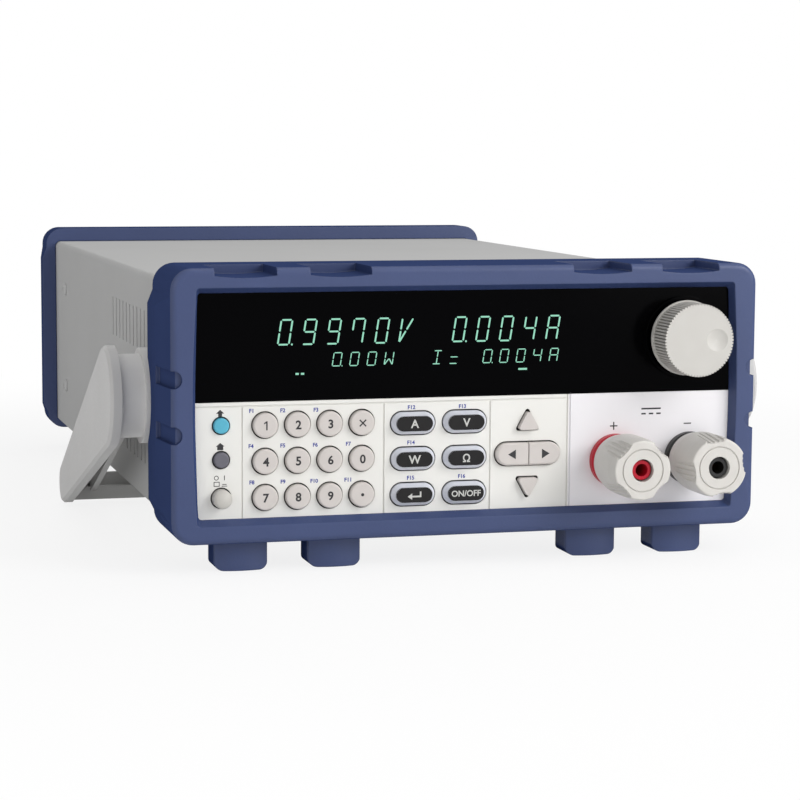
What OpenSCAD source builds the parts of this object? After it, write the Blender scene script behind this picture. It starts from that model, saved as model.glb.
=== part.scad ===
// Half-width bench DC electronic load with rubber bumpers and a swing handle.
// Millimetres, +Z up, +Y to the back, origin on the bench under the middle of the outline.
// Sub-parts are drawn from the panel: y = 0 on the front panel's face, z = 0 under the cabinet.

/* [Cabinet] */
// Width of the sheet metal cabinet
cab_w = 214.5; // [212:0.5:222]
// Height of the sheet metal cabinet
cab_h = 88.2; // [87:0.2:92]
// Depth from the front panel's face to the rear panel's face
cab_d = 358; // [350:1:390]
// Thickness of the cover sheet
sheet = 1; // [0.8:0.1:1.4]
// Outside radius of the cover's bends
bend_r = 2.5; // [1.6:0.1:3.5]
// Thickness of the tray sheet
tray_t = 1.2; // [1:0.1:1.6]
// Height of the tray's side flanges
flange_h = 12; // [6:0.5:13]
// Thickness of the rear panel
rear_t = 1.5; // [1.2:0.1:2]
// Slip clearance between fixed pieces
fit = 0.15; // [0.1:0.05:0.3]

/* [Vents] */
// Slots in each vent group
vent_n = 10; // [6:1:12]
// Distance from slot to slot
vent_pitch = 8.9; // [7:0.1:10]
// Width of one slot
vent_w = 1.9; // [1.2:0.1:3]
// Height of one slot
vent_h = 15.9; // [10:0.1:18]
// Depth of the first slot behind the panel
vent_y = 83; // [75:1:95]
// Centre height of the upper vents
vent_hi_z = 65.5; // [60:0.5:70]
// Centre height of the lower vents
vent_lo_z = 21.5; // [18:0.5:28]

/* [Bumpers] */
// Rubber beside the cabinet
bump_side = 4.75; // [4:0.05:6]
// Rubber above the cabinet
bump_top = 6.5; // [5:0.1:8]
// Rubber below the cabinet
bump_bottom = 4.8; // [4:0.1:6]
// Outer corner radius
bump_r = 8; // [6:0.5:10]
// Rounding of the outer edge
bump_edge = 2.2; // [1.5:0.1:3]
// Rubber in front of the panel
front_lip = 4; // [3.5:0.1:6]
// Depth of the front bumper
front_bump_d = 39; // [34:0.5:44]
// Rubber behind the rear panel
rear_lip = 10; // [8:0.5:14]
// Depth of the rear bumper
rear_bump_d = 18; // [16.5:0.5:24]
// Swell of each side past the bumper's front edge
flare = 2; // [1:0.1:2.4]
// Rubber that laps the panel at each side, at mid height
lap_side = 4.75; // [4:0.05:6]
// Rubber that laps the panel at its foot
lap_bottom = 4.5; // [3:0.1:5]
// Rubber that laps the panel at its top
lap_top = 3.2; // [2.5:0.1:4]
// Outward bow of the opening's sides
bow = 1; // [0.4:0.1:2]
// Widening of the opening from the panel to the bumper's face
chamfer = 2.6; // [1.5:0.1:3]
// Height of the feet below the bumper
foot_h = 11.2; // [8:0.1:14]
// Width of a foot
foot_w = 20; // [14:0.1:20]
// Depth of a foot on the front bumper
front_foot_d = 16; // [12:0.5:20]
// Depth of a foot on the rear bumper
rear_foot_d = 13; // [9:0.5:14]
// Rounding of a foot's corners
foot_r = 3.4; // [1.5:0.1:4]
// Distance from the middle to the outer feet
foot_x1 = 85; // [82:0.5:90]
// Distance from the middle to the inner feet
foot_x2 = 50; // [45:0.5:55]
// Width of the stacking pockets over the front feet
pocket_w = 22.7; // [20.5:0.1:25]
// Depth of a stacking pocket at its middle
pocket_sink = 3.6; // [3:0.1:4.2]
// Height of the side finger recesses
recess_h = 6.3; // [5:0.1:8]
// Sink of the side finger recesses
recess_sink = 1.6; // [1:0.1:2.2]
// Height of the upper recess
recess_hi_z = 55; // [50:0.5:60]
// Height of the lower recess
recess_lo_z = 35; // [30:0.5:40]

/* [Panel] */
// Thickness of the bezel's face
bez_t = 3; // [2.5:0.1:4]
// Depth of the bezel's rim
rim_d = 12; // [12:0.5:16]
// Thickness of the bezel's rim
rim_t = 2; // [1.5:0.1:3]
// Rise of the dark window's foot over the middle of the opening
split_up = 1.45; // [0.5:0.05:3]
// Thickness of the window
win_t = 1.5; // [1:0.1:2]
// Drop of the frame line over the keys from the window's foot
frame_drop = 1.5; // [1:0.1:2]
// Width of the moulded panel lines
line_w = 0.5; // [0.3:0.1:0.8]
// Sink of the moulded panel lines
line_sink = 0.4; // [0.2:0.1:0.8]
// Depth of the front circuit board behind the face
board_y = 11; // [10.5:0.1:13]
// Thickness of the circuit boards
pcb_t = 1.6; // [1.2:0.1:2.4]
// Distance of the display tube from the opening's left side
tube_side = 26.5; // [20:0.5:32]
// Length of the display tube
tube_w = 118; // [110:0.5:124]
// Height of the display tube
tube_h = 24; // [20:0.1:25]
// Rise of the display tube over the window's foot
tube_up = 7; // [5:0.1:9]
// Thickness of the display tube
tube_t = 6; // [4:0.1:6.4]

/* [Keys] */
// Gap around every key
key_gap = 0.5; // [0.3:0.05:0.5]
// Travel of the keys
key_travel = 1; // [0.6:0.1:1.4]
// Radius of a number key
num_r = 4.55; // [4:0.05:4.9]
// Number keys in front of the face
num_proud = 2; // [1.2:0.1:3]
// Distance between number columns
num_dx = 12; // [11.7:0.1:12.4]
// Clear panel left of the side buttons
side_gap = 5; // [3:0.05:8]
// Clear panel between the side buttons and the number keys
num_gap = 6.75; // [5:0.05:9]
// Clear panel between the number and the function keys
fun_gap = 5.2; // [4:0.05:7]
// Clear panel between the function and the arrow keys
arrow_gap = 2.35; // [1.5:0.05:4]
// Clear panel between the arrow keys and the binding posts
post_left_gap = 10.1; // [8:0.05:13]
// Clear panel right of the binding posts
post_right_gap = 4; // [3:0.05:6]
// Room under the lowest key row
row_foot = 0.66; // [0.2:0.02:1.5]
// Drop of the top number row from the frame line
num_drop = 7; // [6.5:0.1:7.7]
// Length of a function key
fun_w = 16.5; // [14:0.1:17]
// Height of a function key
fun_h = 8.2; // [7:0.1:9]
// Function keys in front of the face
fun_proud = 3; // [2:0.1:4]
// Inset of a function key's dark top
fun_inset = 1.35; // [0.8:0.05:1.8]
// Thickness of a function key's dark top
fun_cap = 0.5; // [0.3:0.1:0.8]
// Distance between function columns
fun_dx = 19.8; // [19:0.1:20.4]
// Drop of the top function row from the frame line
fun_drop = 7.7; // [7:0.1:8.3]
// Drop of the arrow keys below the middle of the key field
arrow_drop = 0.2; // [-0.4:0.1:0.6]
// Length of the left and right key pair
pair_w = 25; // [22:0.1:26]
// Height of the left and right keys
pair_h = 8.4; // [7:0.1:9]
// Width of the up and down keys
tri_w = 8.4; // [7:0.1:9.5]
// Height of the up and down keys
tri_h = 7.6; // [6.5:0.1:8]
// Distance from the arrow middle to the base of the up and down keys
tri_off = 9; // [8.6:0.1:9.6]
// Arrow keys in front of the face
arrow_proud = 2.2; // [1.5:0.1:3]
// Rise of the shift key over the top number row
shift_up = 0.2; // [-0.5:0.02:0.7]
// Rise of the local key over the middle number row
local_up = 0.98; // [0.4:0.02:1.5]
// Radius of the shift and local keys
side_r = 2.85; // [2.4:0.05:3.2]
// Shift and local keys in front of the face
side_proud = 1.4; // [1:0.1:2]
// Rise of the power button over the lowest number row
power_up = 0.26; // [-0.4:0.02:1]
// Radius of the power button
power_r = 3.4; // [3:0.1:3.8]
// Power button in front of the face
power_proud = 5; // [4:0.1:6.5]
// Travel of the power button
power_travel = 2.5; // [1.5:0.1:3]

/* [Knob] */
// Distance of the knob from the opening's right side
knob_side = 18.8; // [17.4:0.1:20.5]
// Rise of the knob over the window's middle
knob_up = 1.2; // [0:0.1:2]
// Radius of the knob's back rim
knob_r = 14.1; // [12.5:0.1:14.6]
// Radius of the knob's knurl
knob_face_r = 13.6; // [12.8:0.1:13.8]
// Knob's back rim in front of the face
knob_back = 3.5; // [2.5:0.1:5]
// Length of the knob
knob_len = 13; // [11:0.1:16]
// Teeth around the knob
knob_teeth = 72; // [48:1:90]
// Depth of the teeth
tooth = 0.65; // [0.3:0.05:0.8]
// Chamfer of the teeth at the face
knob_edge = 0.9; // [0.5:0.1:1.5]
// Offset of the finger dimple
dimple_off = 7.2; // [6:0.1:7.4]
// Radius of the finger dimple at the face
dimple_r = 4.2; // [3:0.1:4.4]
// Sink of the finger dimple
dimple_sink = 1.1; // [0.6:0.1:1.8]
// Radius of the encoder's shaft
shaft_r = 3; // [2.5:0.1:3.2]
// Running clearance around turning shafts
run = 0.06; // [0.04:0.01:0.08]

/* [Terminals] */
// Distance between the binding posts
post_gap = 30; // [28:0.1:31]
// Height of the binding posts
post_z = 20.8; // [20.2:0.1:21.6]
// Reach of the caps in front of the face
post_reach = 29.5; // [27:0.1:33]
// Radius of the coloured collars
collar_r = 10; // [9:0.1:10.6]
// Thickness of the coloured collars
collar_t = 3.2; // [2:0.1:4]
// Largest radius of a cap
cap_r = 11.4; // [10.5:0.1:12]
// Radius left under a flute at the cap's face
flute_in = 9.3; // [8.8:0.1:9.8]
// Length of the flutes
flute_len = 17; // [13:0.5:19]
// Radius of the stud
stud_r = 4.1; // [3.7:0.1:4.4]
// Radius of the plug socket in the stud
socket_r = 2; // [1.9:0.05:2.2]
// Depth of the plug socket
socket_d = 14; // [10:0.5:16]
// Stud in front of the face
stud_reach = 15; // [13:0.5:17]
// Outer radius of the coloured sleeve
sleeve_r = 3.6; // [2.9:0.1:3.8]
// Length of the coloured sleeve
sleeve_len = 13; // [8:0.5:14]
// Thickness of the clamp washer
washer_t = 1.1; // [0.8:0.1:1.6]

/* [Handle] */
// Depth of the handle's axis behind the face
hub_y = 49; // [47:0.5:54]
// Radius of the hub's flange
hub_flange_r = 18; // [17:0.1:19]
// Reach of the hub's flange from the cabinet side
hub_flange_t = 7.7; // [4:0.05:8]
// Radius of the hub
hub_r = 15.75; // [14:0.05:16.5]
// Reach of the handle's plate from the cabinet side
arm_gap = 16.8; // [15:0.1:18]
// Thickness of the handle's plate
arm_t = 4.4; // [3:0.1:6]
// Radius of the plate round the hub
arm_r1 = 19; // [17.5:0.1:21]
// Radius of the plate's tip
arm_r2 = 8.2; // [7.4:0.1:8.4]
// Length from the axis to the tip's middle
arm_len = 134; // [128:0.5:150]
// Slope of the folded handle below level
arm_tilt = 22.3; // [21.9:0.1:22.6]
// Radius of the pivot journal
journal_r = 6; // [5:0.1:8]
// Wall of the handle's ribs
rib_t = 2.5; // [2:0.1:3]
// Depth of the grip bar
grip_d = 15; // [13:0.5:16]
// Height of the grip bar's back wall
grip_h = 9.6; // [8:0.1:9.8]
// Height of the grip bar's front wall
grip_front_h = 5.6; // [4:0.1:7]
// Number of ribs across the grip
grip_ribs = 8; // [4:1:12]

/* [Inside] */
// Lift of the power board over the tray
board_lift = 5; // [4:0.5:8]
// Room between the fan and the cabinet's top and foot
fan_gap = 4.1; // [3:0.1:6]
// Thickness of the fan
fan_t = 25; // [20:1:32]
// Place of the fan from the middle
fan_x = 48; // [46:1:50]
// Fan blades
fan_blades = 7; // [5:1:9]
// Width of the heat sink
sink_w = 84; // [78:1:88]
// Front end of the heat sink
sink_y = 120; // [110:1:140]
// Room between the heat sink and the cover
sink_gap = 3.2; // [2:0.1:16]
// Cooling fins
fin_n = 13; // [8:1:15]
// Thickness of a fin
fin_t = 2; // [1.4:0.1:3]
// Thickness of a power transistor
chip_t = 5; // [4:0.1:5.4]
// Distance of the mains inlet from the rear opening's side
inlet_side = 32.5; // [28:0.5:36]
// Height of the mains inlet
inlet_z = 45; // [42:1:50]
// Pull of the fuse drawer
fuse_pull = 16; // [12:0.5:16]
// Place of the serial port and the sense block from the middle
port_x = -20; // [-22:1:-18]
// Height of the serial port
port_z = 62; // [58:1:66]
// Height of the sense block
sense_z = 26; // [24:1:30]

/* [Hidden] */
$fn = 48;
hull_fn = 32;
over = 1;
gap = 0.3;

cab_z = foot_h + bump_bottom;
face_y = (post_reach - cab_d - rear_lip) / 2;
half_w = cab_w / 2 + bump_side;
top_z = cab_h + bump_top;
inner_w = cab_w - 2 * sheet - 2 * fit;
inner_top = cab_h - sheet - fit;
mid_z = cab_h / 2;
pcb_z = tray_t + board_lift;
chip_z = pcb_z + pcb_t;
sink_z = chip_z + chip_t;
fan_y = cab_d - rear_t - fan_t;

// Rows of the panel, from the height of the bumper's opening
open_top = cab_h - lap_top;
split_z = (open_top + lap_bottom) / 2 + split_up;
frame_z = split_z - frame_drop;
row_dz = (frame_z - lap_bottom - row_foot) / 3;
num_z = frame_z - num_drop;
fun_z = frame_z - fun_drop;
arrow_z = (frame_z + lap_bottom) / 2 - arrow_drop;
shift_z = num_z + shift_up;
local_z = num_z - row_dz + local_up;
power_z = num_z - 2 * row_dz + power_up;
knob_z = (split_z + open_top) / 2 + knob_up;
tube_z0 = split_z + tube_up;
tube_z1 = tube_z0 + tube_h;

// Columns of the panel: the clear gaps share what the keys and posts leave of the opening
skirt = 0.7;
open_x = cab_w / 2 - lap_side;
side_half = power_r + skirt;
num_half = num_r + skirt;
fun_half = fun_w / 2 + skirt;
arrow_half = pair_w / 2 + skirt;
taken = 2 * (side_half + num_half + fun_half + arrow_half + cap_r) + 3 * num_dx + fun_dx + post_gap;
spread = (2 * open_x - taken)
    / (side_gap + num_gap + fun_gap + arrow_gap + post_left_gap + post_right_gap);
side_x = -open_x + spread * side_gap + side_half;
num_x = side_x + side_half + spread * num_gap + num_half;
num_right = num_x + 3 * num_dx + num_half;
fun_x = num_right + spread * fun_gap + fun_half;
fun_right = fun_x + fun_dx + fun_half;
arrow_x = fun_right + spread * arrow_gap + arrow_half;
arrow_right = arrow_x + arrow_half;
pos_x = arrow_right + spread * post_left_gap + cap_r;
neg_x = pos_x + post_gap;
knob_x = open_x - knob_side;
tube_x0 = -open_x + tube_side;
tube_x1 = tube_x0 + tube_w;

fan = cab_h - 2 * fan_gap;
sink_top = cab_h - sheet - sink_gap;
inlet_x = inlet_side - open_x;
dome_h = 1;
rest_y = board_y - dome_h - gap;
flange_t = 1.2;
screw_y = cab_d - 44;
screw_z = [20, 66.7];
screw_r = 1.5;
pillar_r = 3;

// Outline helpers
function unit(v) = v / norm(v);
function corner(p, q, n, r, k) = r <= 0 ? [q] :
    let (a = unit(p - q), b = unit(n - q), half = acos(a * b) / 2)
    let (c = q + unit(a + b) * r / sin(half))
    let (s = q + a * r / tan(half) - c, e = q + b * r / tan(half) - c)
    let (a0 = atan2(s[1], s[0]), turn = (atan2(e[1], e[0]) - a0 + 540) % 360 - 180)
    [for (i = [0:k]) c + r * [cos(a0 + turn * i / k), sin(a0 + turn * i / k)]];
function rounded(pts, radii, k = 8) = let (n = len(pts))
    [for (i = [0:n - 1]) each corner(pts[(i + n - 1) % n], pts[i], pts[(i + 1) % n], radii[i], k)];
function box4(w, z0, z1) = [[-w / 2, z0], [w / 2, z0], [w / 2, z1], [-w / 2, z1]];

// Placing helpers: children of along_x lie in (y, z), children of along_y lie in (x, z)
module on_panel() translate([0, face_y, cab_z]) children();
module along_x(x0, x1) translate([x0, 0, 0]) rotate([90, 0, 90]) linear_extrude(x1 - x0) children();
module along_y(y0, y1) translate([0, y1, 0]) rotate([90, 0, 0]) linear_extrude(y1 - y0) children();
module forward(x, y, z) translate([x, y, z]) rotate([90, 0, 0]) children();
module backward(x, y, z) translate([x, y, z]) rotate([-90, 0, 0]) children();
module both_sides() {
    children();
    mirror([1, 0, 0]) children();
}
module pill(w, h) {
    square([w - h, h], center = true);
    for (s = [-1, 1]) translate([s * (w - h) / 2, 0]) circle(d = h);
}
module rod_y(x, z, r, y0, y1) backward(x, y0, z) cylinder(r = r, h = y1 - y0);

// Cabinet
tray_slot = 20;
tray_slot_x = 60;
tray_slot_dx = 20;
tray_slot_y = 60;
tray_slot_dy = 26;

module cover_outline(w, h, r) polygon(rounded(box4(w, 0, h), [0, 0, r, r]));

module base_tray() color("silver") on_panel() {
    difference() {
        along_y(rim_d, cab_d - rear_t) difference() {
            translate([-inner_w / 2, 0]) square([inner_w, flange_h]);
            translate([tray_t - inner_w / 2, tray_t]) square([inner_w - 2 * tray_t, flange_h]);
        }
        for (x = [-tray_slot_x:tray_slot_dx:tray_slot_x], i = [0:2])
            translate([x - vent_w / 2, tray_slot_y + i * tray_slot_dy, -over])
                cube([vent_w, tray_slot, tray_t + 2 * over]);
    }
    for (p = pillars) translate([p[0], p[1], 0]) cylinder(r = pillar_r, h = pcb_z);
}

module vent_group(z) for (i = [0:vent_n - 1])
    translate([vent_y + i * vent_pitch, z]) square([vent_w, vent_h], center = true);

module top_cover() color("gainsboro") on_panel() difference() {
    along_y(rim_d, cab_d) difference() {
        cover_outline(cab_w, cab_h, bend_r);
        translate([0, -over]) cover_outline(cab_w - 2 * sheet, cab_h - sheet + over, bend_r - sheet);
    }
    along_x(-cab_w, cab_w) {
        vent_group(vent_hi_z);
        vent_group(vent_lo_z);
        for (z = screw_z) translate([screw_y, z]) circle(r = screw_r + fit);
    }
}

grille_r = fan / 2 - 3;
grille_rings = 5;
grille_spoke = 3;
grille_slot = 4.2;
ear_h = 13;
ear_lap = 7;

module fan_grille() difference() {
    for (i = [1:grille_rings]) difference() {
        circle(r = grille_r * (i + 0.75) / (grille_rings + 0.75));
        circle(r = grille_r * (i + 0.75) / (grille_rings + 0.75) - grille_slot);
    }
    for (a = [45, 135]) rotate(a) square([fan, grille_spoke], center = true);
}

module rear_panel() color("lightgray") on_panel() {
    along_y(cab_d - rear_t, cab_d) difference() {
        translate([0, fit]) cover_outline(inner_w, inner_top - fit, bend_r - sheet);
        translate([fan_x, mid_z]) fan_grille();
        translate([inlet_x, inlet_z]) square([inlet_body_w + 2 * fit, inlet_body_h + 2 * fit], center = true);
        translate([port_x, port_z]) pill(port_shell_w + 2 * fit, port_shell_h + 2 * fit);
        translate([port_x, sense_z]) square([sense_w + 2 * fit, sense_h + 2 * fit], center = true);
    }
    both_sides() for (z = screw_z) difference() {
        translate([inner_w / 2 - tray_t, screw_y - ear_lap, z - ear_h / 2])
            cube([tray_t, cab_d - rear_t - screw_y + ear_lap, ear_h]);
        translate([inner_w / 2 - tray_t - over, screw_y, z]) rotate([0, 90, 0])
            cylinder(r = screw_r + fit, h = tray_t + 2 * over);
    }
}

screw_head_r = 2.9;
screw_head_h = 1.7;
screw_dome_r = 4.1;
screw_tip = 3;
cross_l = 3;
cross_w = 0.7;
cross_sink = 0.9;

module case_screws() color("silver") on_panel() both_sides() for (z = screw_z)
    translate([cab_w / 2, screw_y, z]) rotate([0, 90, 0]) {
        difference() {
            intersection() {
                cylinder(r = screw_head_r, h = screw_head_h);
                translate([0, 0, screw_head_h - screw_dome_r]) sphere(r = screw_dome_r);
            }
            for (a = [45, 135]) rotate(a) translate([-cross_l / 2, -cross_w / 2, screw_head_h - cross_sink])
                cube([cross_l, cross_w, cross_sink + over]);
        }
        translate([0, 0, -sheet - tray_t - screw_tip]) cylinder(r = screw_r, h = sheet + tray_t + screw_tip);
    }

// Bumpers, drawn with y = 0 on the outer face and +y towards the middle of the cabinet
flare_z = [3, 7, top_z - 14.7, top_z - 9.7];
flare_share = 0.6;
open_r = 1.2;
foot_bow_r = 24;
bow_r = 500;
recess_end = 0.7;

module bumper_corner(depth) rotate([-90, 0, 0]) rotate_extrude($fn = hull_fn) {
    translate([0, bump_edge]) square([bump_r, depth - bump_edge]);
    square([bump_r - bump_edge, depth]);
    intersection() {
        translate([bump_r - bump_edge, bump_edge]) circle(r = bump_edge, $fn = hull_fn);
        square([bump_r, depth]);
    }
}

module bumper_block(depth) hull()
    for (x = [-1, 1], z = [-bump_bottom + bump_r, top_z - bump_r])
        translate([x * (half_w - bump_r), 0, z]) bumper_corner(depth);

module bumper_flare(depth) both_sides() intersection() {
    translate([0, 0, -bump_bottom]) linear_extrude(top_z + bump_bottom)
        polygon([[half_w - bump_side, bump_edge], [half_w, bump_edge], [half_w + flare, depth * flare_share],
                 [half_w + flare, depth], [half_w - bump_side, depth]]);
    along_y(0, depth) polygon([[half_w - bump_side, flare_z[0]], [half_w, flare_z[0]],
        [half_w + flare, flare_z[1]], [half_w + flare, flare_z[2]], [half_w, flare_z[3]],
        [half_w - bump_side, flare_z[3]]]);
}

module opening_outline(grow) {
    w = cab_w / 2 - lap_side;
    polygon(rounded(
        [[-w + bow - grow / 2, lap_bottom - grow], [w - bow + grow / 2, lap_bottom - grow],
         [w + grow, mid_z], [w - bow + grow / 2, cab_h - lap_top + grow],
         [-w + bow - grow / 2, cab_h - lap_top + grow], [-w - grow, mid_z]],
        [open_r, open_r, bow_r, open_r, open_r, bow_r]));
}

module bumper_opening(lip) hull() {
    along_y(lip, lip + over) opening_outline(0);
    along_y(-over, 0) opening_outline(chamfer);
}

module pocket_outline() {
    side_sink = pocket_sink - 0.8;
    r = (pow(pocket_w / 2, 2) + pow(pocket_sink - side_sink, 2)) / (2 * (pocket_sink - side_sink));
    intersection() {
        translate([-pocket_w / 2, -pocket_sink]) square([pocket_w, pocket_sink + over]);
        translate([0, r - pocket_sink]) circle(r = r, $fn = 96);
    }
}

// A recess runs from a round end on the bumper's face back along its side, at one depth under the flare
module finger_recess(length, depth, z) both_sides() {
    swell = flare * (length - bump_edge) / (depth * flare_share - bump_edge);
    out = half_w + flare + over;
    floor_x = half_w - recess_sink;
    end_x = half_w - recess_end;
    translate([0, 0, z - recess_h / 2]) linear_extrude(recess_h)
        polygon([[floor_x, -over], [floor_x, bump_edge],
        [floor_x + swell, length], [out, length], [out, -over]]);
    rod_y(end_x, z, recess_h / 2, -over, recess_sink);
    translate([end_x, -over, z - recess_h / 2]) cube([out - end_x, recess_sink + over, recess_h]);
}

// A foot with a bowed outer face
module foot(depth) intersection() {
    linear_extrude(foot_h + bump_bottom) intersection() {
        polygon(rounded([[-foot_w / 2, 0], [foot_w / 2, 0], [foot_w / 2, depth], [-foot_w / 2, depth]],
            [foot_r, foot_r, foot_r, foot_r]));
        translate([0, foot_bow_r]) circle(r = foot_bow_r);
    }
    along_y(0, depth) polygon(rounded(box4(foot_w, 0, foot_h + bump_bottom), [foot_r, foot_r, 0, 0]));
}

module bumper(depth, lip, foot_y, foot_d, pocket_d, recess_d) difference() {
    union() {
        bumper_block(depth);
        bumper_flare(depth);
        for (x = [-foot_x1, -foot_x2, foot_x2, foot_x1])
            translate([x, foot_y, -cab_z]) foot(foot_d);
    }
    along_y(lip, depth + over) translate([0, -fit]) cover_outline(cab_w + 2 * fit, cab_h + 2 * fit, bend_r);
    bumper_opening(lip);
    if (pocket_d > 0) for (x = [-foot_x1, -foot_x2, foot_x2, foot_x1])
        translate([x, 0, top_z]) along_y(-over, pocket_d) pocket_outline();
    for (z = [recess_lo_z, recess_hi_z]) finger_recess(recess_d, depth, z);
}

module front_bumper() color("slateblue") on_panel() difference() {
    translate([0, -front_lip, 0]) bumper(front_bump_d, front_lip, 8, front_foot_d, 24, 22);
    translate([-half_w * 2, hub_y, mid_z]) rotate([0, 90, 0])
        cylinder(r = hub_flange_r + over, h = half_w * 4);
    both_sides() translate([half_w, hub_y, mid_z]) rotate([0, 90, 0])
        cylinder(r1 = hub_flange_r + over, r2 = hub_flange_r + over + flare + over, h = flare + over);
}

module rear_bumper() color("slateblue") on_panel()
    translate([0, cab_d + rear_lip, 0]) mirror([0, 1, 0])
        bumper(rear_bump_d, rear_lip, 3, rear_foot_d, 0, 10.5);

// Front panel
rows = [0, 1, 2];
cols = [0, 1, 2, 3];
function num_at(c, r) = [num_x + c * num_dx, num_z - r * row_dz];
function fun_at(c, r) = [fun_x + c * fun_dx, fun_z - r * row_dz];
tri_r = 0.9;
split_gap = 0.4;
boss_x = cab_w / 2 - 8.75;
boss_at = [[-boss_x, cab_h - 8.2], [boss_x, cab_h - 8.2], [boss_x, split_z + 3.8], [-boss_x, split_z + 2.8],
    [arrow_right - 1.6, lap_bottom + 1.5]];
boss_r = 2.4;
bush_r = shaft_r + 0.9;
barrel_r = 6;

module triangle(grow) translate([0, tri_off]) polygon(rounded(
    [[-tri_w / 2 - grow * 1.6, -grow], [tri_w / 2 + grow * 1.6, -grow], [0, tri_h + grow * 2]],
    [tri_r, tri_r, tri_r]));

module key_holes() {
    for (c = cols, r = rows) translate(num_at(c, r)) circle(r = num_r + key_gap);
    for (c = [0, 1], r = rows) translate(fun_at(c, r)) pill(fun_w + 2 * key_gap, fun_h + 2 * key_gap);
    translate([side_x, shift_z]) circle(r = side_r + key_gap);
    translate([side_x, local_z]) circle(r = side_r + key_gap);
    translate([side_x, power_z]) circle(r = power_r + key_gap);
    translate([arrow_x, arrow_z]) {
        pill(pair_w + 2 * key_gap, pair_h + 2 * key_gap);
        triangle(key_gap);
        mirror([0, 1]) triangle(key_gap);
    }
}

module panel_lines() {
    div_x = [(side_x + num_x) / 2 - 0.35, num_right + 0.606 * spread * fun_gap,
        fun_right + 0.404 * spread * arrow_gap];
    input_x0 = arrow_right + 0.238 * spread * post_left_gap;
    input_x = [input_x0, input_x0 + 1.1];
    w = cab_w / 2 - rim_t;
    for (x = div_x) translate([x - line_w / 2, rim_t]) square([line_w, frame_z - rim_t]);
    translate([-w, frame_z - line_w / 2]) square([w + input_x[0], line_w]);
    for (x = input_x) translate([x - line_w / 2, rim_t]) square([line_w, split_z - rim_t]);
}

module front_bezel() color("ivory") on_panel() {
    w = cab_w - 2 * rim_t;
    difference() {
        along_y(0, rim_d) cover_outline(cab_w, cab_h, bend_r);
        along_y(bez_t, rim_d + over) translate([-w / 2, rim_t]) square([w, cab_h - 2 * rim_t]);
        along_y(-over, win_t) translate([-w / 2, split_z]) square([w, cab_h - rim_t - split_z]);
        along_y(-over, bez_t + over) {
            key_holes();
            translate([tube_x0 - 2, tube_z0 - 2]) square([tube_x1 - tube_x0 + 4, tube_z1 - tube_z0 + 4]);
            translate([knob_x, knob_z]) circle(r = bush_r + fit);
            for (x = [pos_x, neg_x]) translate([x, post_z]) circle(r = barrel_r + fit);
        }
        along_y(-over, line_sink) panel_lines();
    }
    for (b = boss_at) rod_y(b[0], b[1], boss_r, bez_t - 0.5, board_y);
}

ring_r = knob_r + 1.4;
ring_proud = 1.4;

module display_window() color("black") on_panel() {
    w = cab_w - 2 * rim_t - 2 * fit;
    difference() {
        union() {
            along_y(0, win_t) translate([-w / 2, split_z + fit])
                square([w, cab_h - rim_t - split_z - 2 * fit]);
            forward(knob_x, win_t / 2, knob_z) cylinder(r = ring_r, h = ring_proud + win_t / 2);
        }
        rod_y(knob_x, knob_z, bush_r + fit, -ring_proud - over, win_t + over);
        rod_y(knob_x, knob_z, ring_r - 1.4, -ring_proud - over, -ring_proud / 2);
    }
}

module display_tube() color("darkslategray") on_panel() {
    translate([tube_x0, board_y - tube_t, tube_z0]) cube([tube_x1 - tube_x0, tube_t, tube_z1 - tube_z0]);
    rod_y(tube_x1 + 1, (tube_z0 + tube_z1) / 2, 2, board_y - tube_t / 2 - 2, board_y - tube_t / 2 + 2);
}

module front_board() color("darkgreen") on_panel() {
    w = cab_w - 2 * rim_t - 2;
    difference() {
        along_y(board_y, board_y + pcb_t) difference() {
            translate([-w / 2, rim_t + 1]) square([w, cab_h - 2 * rim_t - 2]);
            translate([pos_x - 17, 0]) square([w, split_z]);
        }
        rod_y(knob_x, knob_z, shaft_r + 1, board_y - over, board_y + pcb_t + over);
    }
    for (c = cols, r = rows) let (p = num_at(c, r)) rod_y(p[0], p[1], 2.2, rest_y + gap, board_y);
    for (c = [0, 1], r = rows) let (p = fun_at(c, r)) rod_y(p[0], p[1], 2.2, rest_y + gap, board_y);
    for (z = [shift_z, local_z, power_z]) rod_y(side_x, z, 2.2, rest_y + gap, board_y);
    for (s = [-1, 1]) {
        rod_y(arrow_x + s * pair_w / 4, arrow_z, 2.2, rest_y + gap, board_y);
        rod_y(arrow_x, arrow_z + s * (tri_off + 2.6), 2.2, rest_y + gap, board_y);
    }
}

// Keys: the cap stands in its hole, a skirt behind the face holds it and a stem meets the board
skirt_front = bez_t + gap;
function stem_end(travel) = rest_y - travel;

module round_cap(r, proud, edge, dome) rotate_extrude() {
    translate([0, -skirt_front]) square([r, skirt_front + proud - edge]);
    translate([0, 0]) square([r - edge, proud]);
    intersection() {
        translate([r - edge, proud - edge]) circle(r = edge);
        square([r, proud]);
    }
    if (dome > 0) intersection() {
        translate([0, proud + dome - r * r / (2 * dome)]) circle(r = r * r / (2 * dome), $fn = 96);
        translate([0, proud - edge]) square([r - edge, dome + edge]);
    }
}

module key_back(skirt_r, travel) {
    translate([0, 0, -skirt_front - flange_t]) cylinder(r = skirt_r, h = flange_t);
    translate([0, 0, -stem_end(travel)]) cylinder(r = 2, h = stem_end(travel) - skirt_front);
}

module number_key(c, r) color("seashell") on_panel() forward(num_at(c, r)[0], 0, num_at(c, r)[1]) {
    round_cap(num_r, num_proud, 0.7, 0);
    key_back(num_half, key_travel);
}

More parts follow.
